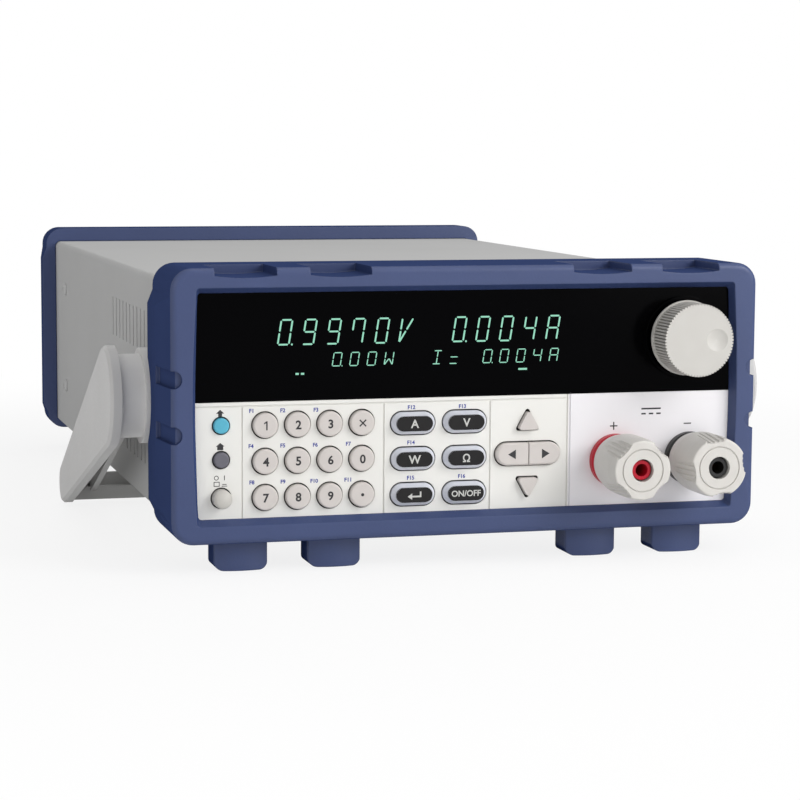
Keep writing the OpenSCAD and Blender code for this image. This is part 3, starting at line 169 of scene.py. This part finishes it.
# Moulded nylon of the sockets, inlet, fan and sense block: deep colour, soft highlights
black_nylon = finish("black_nylon", "#1b1b1c", "#141415", 0.42, 8, 0.5, 0.015, 0.45, 0.2)
red_nylon = finish("red_nylon", "#bd0f2b", "#a60b24", 0.35, 5, 0.5, 0.008, 0.3, 0.2)
green_nylon = finish("green_nylon", "#2f7a4c", "#286b42", 0.42, 6, 0.5, 0.01, 0.45, 0.2)
# Turned brass: warm shine broken by fine tool marks
brass = finish("turned_brass", "#d2ab5c", "#b98f45", 0.28, 3, 0.3, 0.004, metallic=1.0, stretch=(1, 6, 1))
# Extruded aluminium: shine drawn out along the die lines
aluminium = finish("extruded_aluminium", "#c6c7c9", "#b4b6b9", 0.36, 4, 0.4, 0.006, metallic=1.0,
                   stretch=(1, 0.05, 1))
# Rolled copper bar: warm and a little dull
copper = finish("rolled_copper", "#c07a55", "#a5603f", 0.34, 6, 0.4, 0.006, metallic=1.0)
# Varnished lamination stack: dark, with the sheets' edges just seen
core_steel = finish("varnished_core", "#3a3c40", "#2c2e31", 0.4, 2, 0.5, 0.02, stretch=(1, 1, 4))
# Glass epoxy board under solder mask: dark green with a clean gloss
board = finish("solder_mask", "#1f5c36", "#184d2c", 0.3, 5, 0.4, 0.006)
# Dark glass of the display tube: near black, smooth and glossy
tube_glass = finish("display_glass", "#131718", "#0f1213", 0.15, 10, 0.5, 0.002)
# Polished dark acrylic: almost black, a thin clean reflection
smoked = finish("smoked_acrylic", "#020203", "#010102", 0.14, 60, 2.0, 0.0005, 0.03, 0.3, rough_span=0.02)
# Screen printed inks: flat and a little rough
blue_ink = finish("blue_ink", "#33419a", "#2d3a8c", 0.6, 2, 0.3, 0.002, 0.3, 0.02)
black_ink = finish("black_ink", "#3a393b", "#333234", 0.6, 2, 0.3, 0.002, 0.3, 0.02)
pale_ink = finish("pale_ink", "#c9c9c6", "#c0c0bd", 0.6, 2, 0.3, 0.002, 0.3, 0.02)


def overlay(tree, share, colour):
    """Lays another tone over a finish, as much of it as share says."""
    paint = tree.nodes["Principled BSDF"].inputs["Base Color"]
    tone = add(tree, "ShaderNodeMix", {"Factor": share, 6: paint.links[0].from_socket, 7: rgb(colour)},
               data_type="RGBA")
    tree.links.new(tone.outputs[2], paint)


def retone(made, axis, edge, colour):
    """Gives what lies past edge along an axis of the frame, in millimetres, another tone."""
    tree = made.node_tree
    where = add(tree, "ShaderNodeTexCoord").outputs["Object"]
    along = add(tree, "ShaderNodeSeparateXYZ", {0: where}).outputs[axis]
    past = add(tree, "ShaderNodeMath", {0: along, 1: edge * MM}, operation="GREATER_THAN").outputs[0]
    overlay(tree, past, colour)


# The input field is a cooler white, and the depth of the gaps round the keys gets painted shade
retone(panel_abs, "X", INPUT_X, "#ebe9ec")
# Painted shade: past that depth the panel, keys and power button turn a near black brown
for made in (panel_abs, key_silicone, skirt_silicone, sky_silicone, grey_silicone, frosted_abs):
    retone(made, "Y", FACE_Y + SHADE_FROM_DEPTH, "#1e1814")


def shade_grooves(made, x, z, root, crest, colour):
    """Paints shade into the grooves of a knurl round an axis along Y, but not on its front."""
    tree = made.node_tree
    where = add(tree, "ShaderNodeTexCoord").outputs["Object"]
    middle = place(x, 0, z)
    arm = add(tree, "ShaderNodeVectorMath", {0: where, 1: middle}, operation="SUBTRACT").outputs[0]
    arm = add(tree, "ShaderNodeVectorMath", {0: arm, 1: (1, 0, 1)}, operation="MULTIPLY").outputs[0]
    reach = add(tree, "ShaderNodeVectorMath", {0: arm}, operation="LENGTH").outputs["Value"]
    deep = add(tree, "ShaderNodeMapRange", {"Value": reach, "From Min": root * MM, "From Max": crest * MM,
                                            "To Min": 1.0, "To Max": 0.0}).outputs[0]
    facing = add(tree, "ShaderNodeNewGeometry").outputs["True Normal"]
    front = add(tree, "ShaderNodeSeparateXYZ", {0: facing}).outputs["Y"]
    beside = add(tree, "ShaderNodeMath", {0: front, 1: -0.6}, operation="GREATER_THAN").outputs[0]
    share = add(tree, "ShaderNodeMath", {0: deep, 1: beside}, operation="MULTIPLY").outputs[0]
    overlay(tree, share, colour)


def phosphor():
    """Lit zinc oxide phosphor: blue-green, a little uneven along a stroke."""
    made, tree, shader, where = start("lit_phosphor")
    patch = grain(tree, where, 0.8)
    tone = add(tree, "ShaderNodeMix", {"Factor": patch, 6: rgb("#a5e8cf"), 7: rgb("#84d4b2")},
               data_type="RGBA")
    tree.links.new(tone.outputs[2], shader.inputs["Emission Color"])
    shader.inputs["Emission Strength"].default_value = 0.95
    shader.inputs["Base Color"].default_value = rgb("#101413")
    shader.inputs["Roughness"].default_value = 0.5
    return made


glow = phosphor()

FINISHES = {
    "base_tray": zinc, "top_cover": powder_coat, "rear_panel": powder_coat, "front_bumper": rubber,
    "rear_bumper": rubber, "front_bezel": panel_abs, "display_window": smoked, "display_tube": tube_glass,
    "front_board": board, "encoder": zinc, "power_board": board, "heatsink": aluminium,
    "transistors": black_nylon, "bus_bars": copper, "transformer": core_steel, "mains_inlet": black_nylon,
    "fan_frame": black_nylon, "terminal_studs": brass, "positive_collar": red_nylon,
    "negative_collar": black_nylon, "positive_sleeve": red_nylon, "negative_sleeve": black_nylon,
    "handle_hubs": hub_lit_nylon, "case_screws": powder_coat, "serial_port": zinc, "sense_block": green_nylon,
    "knob": knob_abs, "encoder_shaft": zinc, "power_button": frosted_abs, "shift_key": sky_silicone,
    "local_key": grey_silicone, "handle": handle_nylon, "fan_rotor": black_nylon,
    "positive_cap": cap_nylon, "negative_cap": cap_nylon, "positive_washer": zinc,
    "negative_washer": zinc, "fuse_drawer": black_nylon,
}
# The function keys with the sign on each; the enter key has an arrow
FUNCTION_KEYS = {"current_key": "A", "voltage_key": "V", "watt_key": "W", "resistance_key": "Ω",
                 "enter_key": None, "load_key": "ON/OFF"}
for name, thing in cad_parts.items():
    worn = FINISHES.get(name, skirt_silicone if name in FUNCTION_KEYS else key_silicone)
    for holder in thing.material_slots:
        holder.material = worn


# Pieces


def piece(name, bm, finish_used, body, smooth=False):
    """Turns a bmesh drawn in panel millimetres into a piece that rides on a body."""
    bmesh.ops.remove_doubles(bm, verts=bm.verts, dist=0.0005)
    bmesh.ops.recalc_face_normals(bm, faces=bm.faces)
    bmesh.ops.translate(bm, vec=(0, FACE_Y, CAB_Z), verts=bm.verts)
    bmesh.ops.scale(bm, vec=(MM, MM, MM), verts=bm.verts)
    mesh = bpy.data.meshes.new(name)
    bm.to_mesh(mesh)
    bm.free()
    mesh.materials.append(finish_used)
    for face in mesh.polygons:
        face.use_smooth = smooth
    made = bpy.data.objects.new(name, mesh)
    bpy.context.scene.collection.objects.link(made)
    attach(made, body)


def thicken(bm, faces, thick=INK):
    """Extrudes flat faces until they stand thick in front of their surface. Returns the front's corners."""
    made = bmesh.ops.extrude_face_region(bm, geom=faces)
    front = [v for v in made["geom"] if isinstance(v, bmesh.types.BMVert)]
    bmesh.ops.translate(bm, vec=(0, -thick - SINK, 0), verts=front)
    return front


def words(bm, text, tall, x, y, z, weight):
    """Adds text tall mm high, with its middle at (x, z), on a face at y that looks forward."""
    curve = bpy.data.curves.new("words", "FONT")
    curve.body = text
    curve.resolution_u = 4
    curve.offset = weight
    holder = bpy.data.objects.new("words", curve)
    bpy.context.scene.collection.objects.link(holder)
    bpy.context.view_layer.update()
    mesh = bpy.data.meshes.new_from_object(holder.evaluated_get(bpy.context.evaluated_depsgraph_get()))
    bpy.data.objects.remove(holder)
    low = [min(v.co[i] for v in mesh.vertices) for i in range(2)]
    high = [max(v.co[i] for v in mesh.vertices) for i in range(2)]
    middle = Vector((-(low[0] + high[0]) / 2, -(low[1] + high[1]) / 2, 0))
    mesh.transform(Matrix.Translation((x, y + SINK, z)) @ Matrix.Rotation(math.pi / 2, 4, "X")
                   @ Matrix.Scale(tall / (high[1] - low[1]), 4) @ Matrix.Translation(middle))
    before = set(bm.faces)
    bm.from_mesh(mesh)
    bpy.data.meshes.remove(mesh)
    thicken(bm, [f for f in bm.faces if f not in before])


def plate(bm, outline, y, thick=INK):
    """Adds a flat plate of an (x, z) outline whose front is thick in front of the face at y."""
    face = bm.faces.new([bm.verts.new((px, y + SINK, pz)) for px, pz in outline])
    return thicken(bm, [face], thick)


def stamp(bm, outline, x, z, y, side=1):
    """Adds a printed sign whose outline is drawn round (x, z), or its mirror image with side -1."""
    plate(bm, [(x + side * dx, z + dz) for dx, dz in outline], y)


def bar(bm, x0, z0, x1, z1, wide, y):
    """Adds a straight printed bar from one point to another."""
    run = Vector((x1 - x0, z1 - z0))
    side = Vector((-run.y, run.x)).normalized() * wide / 2
    plate(bm, [(x0 + side.x, z0 + side.y), (x0 - side.x, z0 - side.y),
               (x1 - side.x, z1 - side.y), (x1 + side.x, z1 + side.y)], y)


def ring(bm, x, z, r, wide, y):
    """Adds a printed circle line."""
    made = bmesh.ops.create_circle(bm, segments=40, radius=r)
    spun = Matrix.Translation((x, y + SINK, z)) @ Matrix.Rotation(math.pi / 2, 4, "X")
    bmesh.ops.transform(bm, matrix=spun, verts=made["verts"])
    loop = {e for v in made["verts"] for e in v.link_edges}
    outer = bmesh.ops.extrude_edge_only(bm, edges=list(loop))
    verts = [v for v in outer["geom"] if isinstance(v, bmesh.types.BMVert)]
    bmesh.ops.scale(bm, vec=((r - wide) / r, 1, (r - wide) / r), verts=verts,
                    space=Matrix.Translation((-x, 0, -z)))
    thicken(bm, [f for f in outer["geom"] if isinstance(f, bmesh.types.BMFace)])


def pill(bm, x, z, w, h, y, thick, edge):
    """Adds a pill-shaped cap with a rounded front edge."""
    steps = 16
    outline = []
    for side, turn in ((1, -90), (-1, 90)):
        for i in range(steps + 1):
            a = math.radians(turn + 180 * i / steps)
            outline.append((x + side * (w - h) / 2 + h / 2 * math.cos(a), z + h / 2 * math.sin(a)))
    front = plate(bm, outline, y, thick)
    rim = [e for e in bm.edges if e.verts[0] in front and e.verts[1] in front]
    bmesh.ops.bevel(bm, geom=rim, offset=edge, offset_type="OFFSET", affect="EDGES", segments=3,
                    profile=0.5, material=-1)


# Number keys: one digit each, a point and a cross
DIGITS = [["key_1", "key_2", "key_3", "key_escape"], ["key_4", "key_5", "key_6", "key_0"],
          ["key_7", "key_8", "key_9", "key_point"]]
for row, names in enumerate(DIGITS):
    for column, body in enumerate(names):
        bm = bmesh.new()
        x, z = NUM_X + column * NUM_DX, NUM_Z - row * ROW_DZ
        sign = body[4:]
        if sign == "escape":
            for rise in (-CROSS_REACH, CROSS_REACH):
                bar(bm, x - CROSS_REACH, z - rise, x + CROSS_REACH, z + rise, CROSS_W, -NUM_TOP)
        elif sign == "point":
            stamp(bm, POINT_SIGN, x, z, -NUM_TOP)
        elif sign == "1":
            stamp(bm, ONE_SIGN, x, z, -NUM_TOP)
        else:
            words(bm, sign, DIGIT_TALL, x, -NUM_TOP, z, DIGIT_BOLD)
        piece(body + "_print", bm, black_ink, body)

# Function keys: a black lacquered top with a pale sign
for index, (body, text) in enumerate(FUNCTION_KEYS.items()):
    x, z = FUN_X + (index % 2) * FUN_DX, FUN_Z - (index // 2) * ROW_DZ
    bm = bmesh.new()
    pill(bm, x, z, FUN_W - 2 * FUN_INSET + 2 * LACQUER, FUN_H - 2 * FUN_INSET + 2 * LACQUER,
         -FUN_TOP + FUN_CAP, FUN_CAP + LACQUER, ROUND)
    piece(body + "_top", bm, black_lacquer, body)
    bm = bmesh.new()
    front = -FUN_TOP - LACQUER
    if text:
        words(bm, text, SWITCH_TALL if len(text) > 1 else UNIT_TALL, x, front, z, UNIT_BOLD)
    else:
        stamp(bm, RETURN_SIGN, x, z, front)
    piece(body + "_print", bm, pale_ink, body)

# Left and right keys: printed triangles
for side, body in ((-1, "left_key"), (1, "right_key")):
    bm = bmesh.new()
    stamp(bm, RIGHT_SIGN, ARROW_X + side * ARROW_DX, ARROW_Z, -ARROW_TOP, side)
    piece(body + "_print", bm, black_ink, body)

# Small blue numbers of the second functions
SECOND = [(-82.3, 43.0), (-70.7, 42.9), (-58.4, 42.8),
          (-82.4, 30.2), (-70.7, 30.1), (-58.6, 30.0), (-46.2, 30.0),
          (-82.1, 17.0), (-70.6, 16.9), (-59.0, 16.8), (-46.4, 16.8),
          (-22.4, 42.8), (-2.9, 42.7), (-22.5, 29.8), (-22.6, 16.7), (-3.0, 16.7)]
bm = bmesh.new()
for index, (x, z) in enumerate(SECOND):
    words(bm, "F%d" % (index + 1), SECOND_TALL, x, 0, z, SECOND_BOLD)
piece("second_function_print", bm, blue_ink, "cabinet")

# Signs over the shift, local and power buttons, beside the posts, and the direct current sign
SIDE_X, SHIFT_Z, LOCAL_Z = -93.7, 42.4, 30.3
THIN, MIDDLE, POLE, BROAD = 0.25, 0.3, 0.45, 0.6    # widths of the printed lines
LINES = [(-92.2, 18.15, -92.2, 19.85, MIDDLE),      # off and on over the power button
         (-96.0, 16.0, -94.1, 16.0, THIN), (-96.0, 17.5, -94.1, 17.5, THIN),
         (-96.0, 15.88, -96.0, 17.62, THIN), (-94.1, 15.88, -94.1, 17.62, THIN),
         (-93.2, 16.0, -91.2, 16.0, THIN), (-93.0, 16.6, -91.4, 16.6, THIN),
         (67.6, 39.9, 75.4, 39.9, BROAD),           # direct current
         (67.6, 38.0, 69.4, 38.0, BROAD), (70.6, 38.0, 72.4, 38.0, BROAD), (73.6, 38.0, 75.4, 38.0, BROAD),
         (55.1, 33.7, 58.1, 33.7, POLE), (56.6, 32.2, 56.6, 35.2, POLE),    # plus
         (84.8, 33.9, 87.8, 33.9, POLE)]            # minus
bm = bmesh.new()
stamp(bm, UP_SIGN, SIDE_X, SHIFT_Z, 0)
stamp(bm, HOUSE_SIGN, SIDE_X, LOCAL_Z, 0)
ring(bm, -95.15, 19.0, 0.85, THIN, 0)
for x0, z0, x1, z1, wide in LINES:
    bar(bm, x0, z0, x1, z1, wide, 0)
piece("panel_print", bm, black_ink, "cabinet")

# Display reading: slanted strokes of a vacuum fluorescent tube
STROKES = {"a": (0, 1, 1, 1), "b": (1, 1, 1, 0.5), "c": (1, 0.5, 1, 0), "d": (0, 0, 1, 0),
           "e": (0, 0, 0, 0.5), "f": (0, 0.5, 0, 1), "g": (0, 0.5, 1, 0.5), "h": (1, 1, 0.5, 0.5),
           "j": (0.5, 0.5, 0, 0), "k": (0.5, 0.5, 1, 0), "i": (0.5, 1, 0.5, 0.5), "l": (0.5, 0.5, 0.5, 0)}
LIT = {"0": "abcdef", "4": "fgbc", "7": "fabc", "9": "abcdfg", "A": "abcefg", "V": "fehj", "W": "febcjk",
       "I": "aild", "=": "gd"}
SLANT = 0.16
STROKE_GAP = 0.35   # gap at a stroke's end, and how far a point stands off, in widths of a stroke
POINT_OFF = 1.9
LARGE = {"wide": 4.1, "tall": 8.9, "pitch": 9.05, "stroke": 0.6}
SMALL = {"wide": 3.0, "tall": 4.8, "pitch": 6.5, "stroke": 0.36}
CLOSE = dict(SMALL, pitch=6.45)
UPPER_Z, LOWER_Z = 66.7, 58.6
FLAG_Z, FLAG_W = 56.0, 0.7


def reading(bm, text, x, z, wide, tall, pitch, stroke):
    """Adds one reading from the left, its strokes cut to points; a point hangs on the digit before it."""
    for sign in text:
        if sign == ".":
            spot = x - pitch + wide + stroke * POINT_OFF
            plate(bm, [(spot - stroke / 2, z - stroke / 2), (spot + stroke / 2, z - stroke / 2),
                       (spot + stroke / 2, z + stroke / 2), (spot - stroke / 2, z + stroke / 2)], 0)
            continue
        for key in LIT.get(sign, ""):
            u0, v0, u1, v1 = STROKES[key]
            a = Vector((x + u0 * wide + v0 * tall * SLANT, z + v0 * tall))
            b = Vector((x + u1 * wide + v1 * tall * SLANT, z + v1 * tall))
            along = (b - a).normalized()
            across = Vector((-along.y, along.x)) * stroke / 2
            a, b = a + along * stroke * STROKE_GAP, b - along * stroke * STROKE_GAP
            tip = along * stroke / 2
            corners = [a, a + tip + across, b - tip + across, b, b - tip - across, a + tip - across]
            plate(bm, [(c.x, c.y) for c in corners], 0)
        x += pitch


bm = bmesh.new()
reading(bm, "0.9970V", -72.6, UPPER_Z, **LARGE)
reading(bm, "0.004A", -7.0, UPPER_Z, **LARGE)
reading(bm, "0.00W", -52.4, LOWER_Z, **SMALL)
reading(bm, "I= 0.004A", -14.6, LOWER_Z, **CLOSE)
for x, w in ((-66.0, 1.2), (-64.0, 1.2), (18.6, 3.4)):
    bar(bm, x, FLAG_Z, x + w, FLAG_Z, FLAG_W, 0)
piece("display_reading", bm, glow, "cabinet")

# Knurl of the knob, sharp up to the face, over the solid's own
KNOB_X, KNOB_Z, KNOB_BACK, KNOB_LEN = 83.7, 66.8, 3.5, 13.0
KNOB_TEETH, KNOB_CREST, KNOB_ROOT, KNOB_INNER = 72, 13.62, 12.96, 12.5
KNOB_RIM, KNOB_PROUD = 1.6, 0.02
CREST = 0.24        # half of a crest's width, as a share of the pitch
# The knob's ABS with crisp edges, and painted shade in the grooves
knurl_abs = finish("knurled_abs", "#c6c4bf", "#bfbcb7", 0.45, 8, 0.5, 0.012, 0.4, 0.03)
# Painted shade: the knurl's grooves turn a dark grey brown towards their root
shade_grooves(knurl_abs, KNOB_X, KNOB_Z, KNOB_ROOT, KNOB_CREST, "#7d7972")
bm = bmesh.new()
tooth = []
for share, r in ((0.5, KNOB_INNER), (0.5, KNOB_ROOT), (CREST, KNOB_CREST),
                 (-CREST, KNOB_CREST), (-0.5, KNOB_ROOT), (-0.5, KNOB_INNER)):
    a = 2 * math.pi * share / KNOB_TEETH
    tooth.append((KNOB_X + r * math.cos(a), KNOB_Z + r * math.sin(a)))
plate(bm, tooth, -KNOB_BACK - KNOB_RIM, KNOB_LEN - KNOB_RIM + KNOB_PROUD)
# The walls between neighbours go, so that the teeth join into one closed ring
beside = [f for f in bm.faces if abs(f.normal.y) < 0.5 and abs(f.normal.z) > 0.99]
bmesh.ops.delete(bm, geom=beside, context="FACES_ONLY")
bmesh.ops.spin(bm, geom=bm.verts[:] + bm.edges[:] + bm.faces[:], cent=(KNOB_X, 0, KNOB_Z), axis=(0, 1, 0),
               angle=2 * math.pi * (KNOB_TEETH - 1) / KNOB_TEETH, steps=KNOB_TEETH - 1, use_duplicate=True)
piece("knob_knurl", bm, knurl_abs, "knob")

# Contacts behind the rear openings, over the solids that carry them
INLET_X, INLET_Z = -70.0, 51.0
BLADE_W, BLADE_H, BLADE_ROOT, BLADE_TIP = 2.0, 4.0, 13.9, 3.0
NICKEL = 0.03       # plating on the inlet's blades
PORT_X, PORT_Z, PORT_W, PORT_H, PORT_FLOOR, PORT_THICK = -20.0, 62.0, 15.6, 7.0, 2.4, 2.0
SENSE_Z, SENSE_PITCH, SENSE_OUT = 29.0, 5.08, 4.7
SCREW_R, SCREW_LEN, SLOT_REACH, SLOT_HALF, SLOT_LOW, SLOT_TOP = 1.1, 1.2, 0.9, 0.15, 5.2, 5.45


def box(bm, low, high):
    """Adds a plain box between two corners."""
    made = bmesh.ops.create_cube(bm, size=1)
    bmesh.ops.scale(bm, vec=[h - l for l, h in zip(low, high)], verts=made["verts"])
    bmesh.ops.translate(bm, vec=[(l + h) / 2 for l, h in zip(low, high)], verts=made["verts"])


bm = bmesh.new()
for dx, dz in ((-7.0, -1.6), (7.0, -1.6), (0.0, 2.6)):
    x, z = INLET_X + dx, INLET_Z + dz
    box(bm, (x - BLADE_W / 2 - NICKEL, CAB_D - BLADE_ROOT, z - BLADE_H / 2 - NICKEL),
        (x + BLADE_W / 2 + NICKEL, CAB_D - BLADE_TIP + NICKEL, z + BLADE_H / 2 + NICKEL))
piece("inlet_blades", bm, zinc, "cabinet")

bm = bmesh.new()
pill(bm, PORT_X, PORT_Z, PORT_W, PORT_H, CAB_D + PORT_FLOOR, PORT_THICK, ROUND)
piece("port_insert", bm, black_nylon, "cabinet")

bm = bmesh.new()
for i in range(4):
    x = PORT_X + (i - 1.5) * SENSE_PITCH
    made = bmesh.ops.create_cone(bm, cap_ends=True, segments=24, radius1=SCREW_R, radius2=SCREW_R,
                                 depth=SCREW_LEN)
    spun = Matrix.Translation((x, CAB_D + SENSE_OUT, SENSE_Z)) @ Matrix.Rotation(math.pi / 2, 4, "X")
    bmesh.ops.transform(bm, matrix=spun, verts=made["verts"])
    box(bm, (x - SLOT_REACH, CAB_D + SLOT_LOW, SENSE_Z - SLOT_HALF),
        (x + SLOT_REACH, CAB_D + SLOT_TOP, SENSE_Z + SLOT_HALF))
piece("sense_screws", bm, zinc, "cabinet")

# Studio: pale floor that keeps the shadow, white beyond, soft light from above and both sides
scene = bpy.context.scene
scene.view_settings.view_transform = "Standard"
FLOOR_R = 12.0      # in metres, as the lamps' places below


def seen_directly(tree):
    """1 for what the camera sees, also in reflections and through clear things, 0 for light that falls."""
    path = add(tree, "ShaderNodeLightPath").outputs
    seen = add(tree, "ShaderNodeMath", {0: path["Is Camera Ray"], 1: path["Is Glossy Ray"]},
               operation="MAXIMUM").outputs[0]
    return add(tree, "ShaderNodeMath", {0: seen, 1: path["Is Transmission Ray"]},
               operation="MAXIMUM").outputs[0]


def floor_finish():
    """Matte white paper: shaded near the object, plain white further out, for the eye and in reflections."""
    made, tree, shader, where = start("white_paper")
    shader.inputs["Base Color"].default_value = rgb("#f4f4f4")
    shader.inputs["Roughness"].default_value = 0.9
    shader.inputs["Specular IOR Level"].default_value = 0.1
    away = add(tree, "ShaderNodeVectorMath", {0: where}, operation="LENGTH")
    far = add(tree, "ShaderNodeMapRange", {"Value": away.outputs["Value"], "From Min": 0.22, "From Max": 0.55,
                                           "To Min": 0.84, "To Max": 1.0}, interpolation_type="SMOOTHSTEP")
    lift = add(tree, "ShaderNodeMath", {0: seen_directly(tree), 1: far.outputs[0]}, operation="MULTIPLY")
    white = add(tree, "ShaderNodeEmission", {"Color": (1, 1, 1, 1), "Strength": 1.0})
    both = add(tree, "ShaderNodeMixShader", {0: lift.outputs[0], 1: shader.outputs[0], 2: white.outputs[0]})
    tree.links.new(both.outputs[0], tree.nodes["Material Output"].inputs["Surface"])
    return made


bm = bmesh.new()
bmesh.ops.create_circle(bm, cap_ends=True, segments=96, radius=FLOOR_R)
mesh = bpy.data.meshes.new("floor")
bm.to_mesh(mesh)
bm.free()
mesh.materials.append(floor_finish())
floor = bpy.data.objects.new("floor", mesh)
scene.collection.objects.link(floor)

world = bpy.data.worlds.new("studio")
world.use_nodes = True
scene.world = world
sky = world.node_tree
level = add(sky, "ShaderNodeMapRange", {"Value": seen_directly(sky), "To Min": 0.45, "To Max": 1.0})
sky.links.new(level.outputs[0], sky.nodes["Background"].inputs["Strength"])
sky.nodes["Background"].inputs["Color"].default_value = (1, 1, 1, 1)


def soft_box(name, spot, aim, wide, tall, watts):
    """A large rectangular lamp that points from spot to aim."""
    lamp = bpy.data.lights.new(name, "AREA")
    lamp.shape = "RECTANGLE"
    lamp.size, lamp.size_y = wide, tall
    lamp.energy = watts
    made = bpy.data.objects.new(name, lamp)
    scene.collection.objects.link(made)
    made.location = spot
    made.rotation_euler = (Vector(aim) - Vector(spot)).to_track_quat("-Z", "Y").to_euler()


soft_box("key_light", (0.7, -0.8, 0.6), (0.05, -0.1, 0.05), 0.6, 0.6, 7)
soft_box("front_light", (0.6, -1.1, 0.24), (0.1, -0.17, 0.06), 0.4, 0.4, 1.2)
soft_box("top_light", (0.3, 0.0, 1.7), (0, 0, 0.05), 1.2, 1.2, 5)
soft_box("left_light", (-0.95, -1.1, 0.5), (-0.1, -0.1, 0.05), 0.6, 0.6, 2.2)

# Camera fitted to the photograph
shot = bpy.data.cameras.new("camera")
shot.sensor_width = 36.0
shot.lens = 106.346
camera = bpy.data.objects.new("camera", shot)
scene.collection.objects.link(camera)
EYE = place(-256.95, -827.64, 142.65)
YAW, PITCH, ROLL = math.radians(15.540), math.radians(6.448), math.radians(0.319)
camera.matrix_world = (Matrix.Translation(EYE)
                       @ Matrix.Rotation(-YAW, 4, "Z") @ Matrix.Rotation(math.pi / 2 - PITCH, 4, "X")
                       @ Matrix.Rotation(ROLL, 4, "Z"))
scene.camera = camera

bpy.context.view_layer.update()
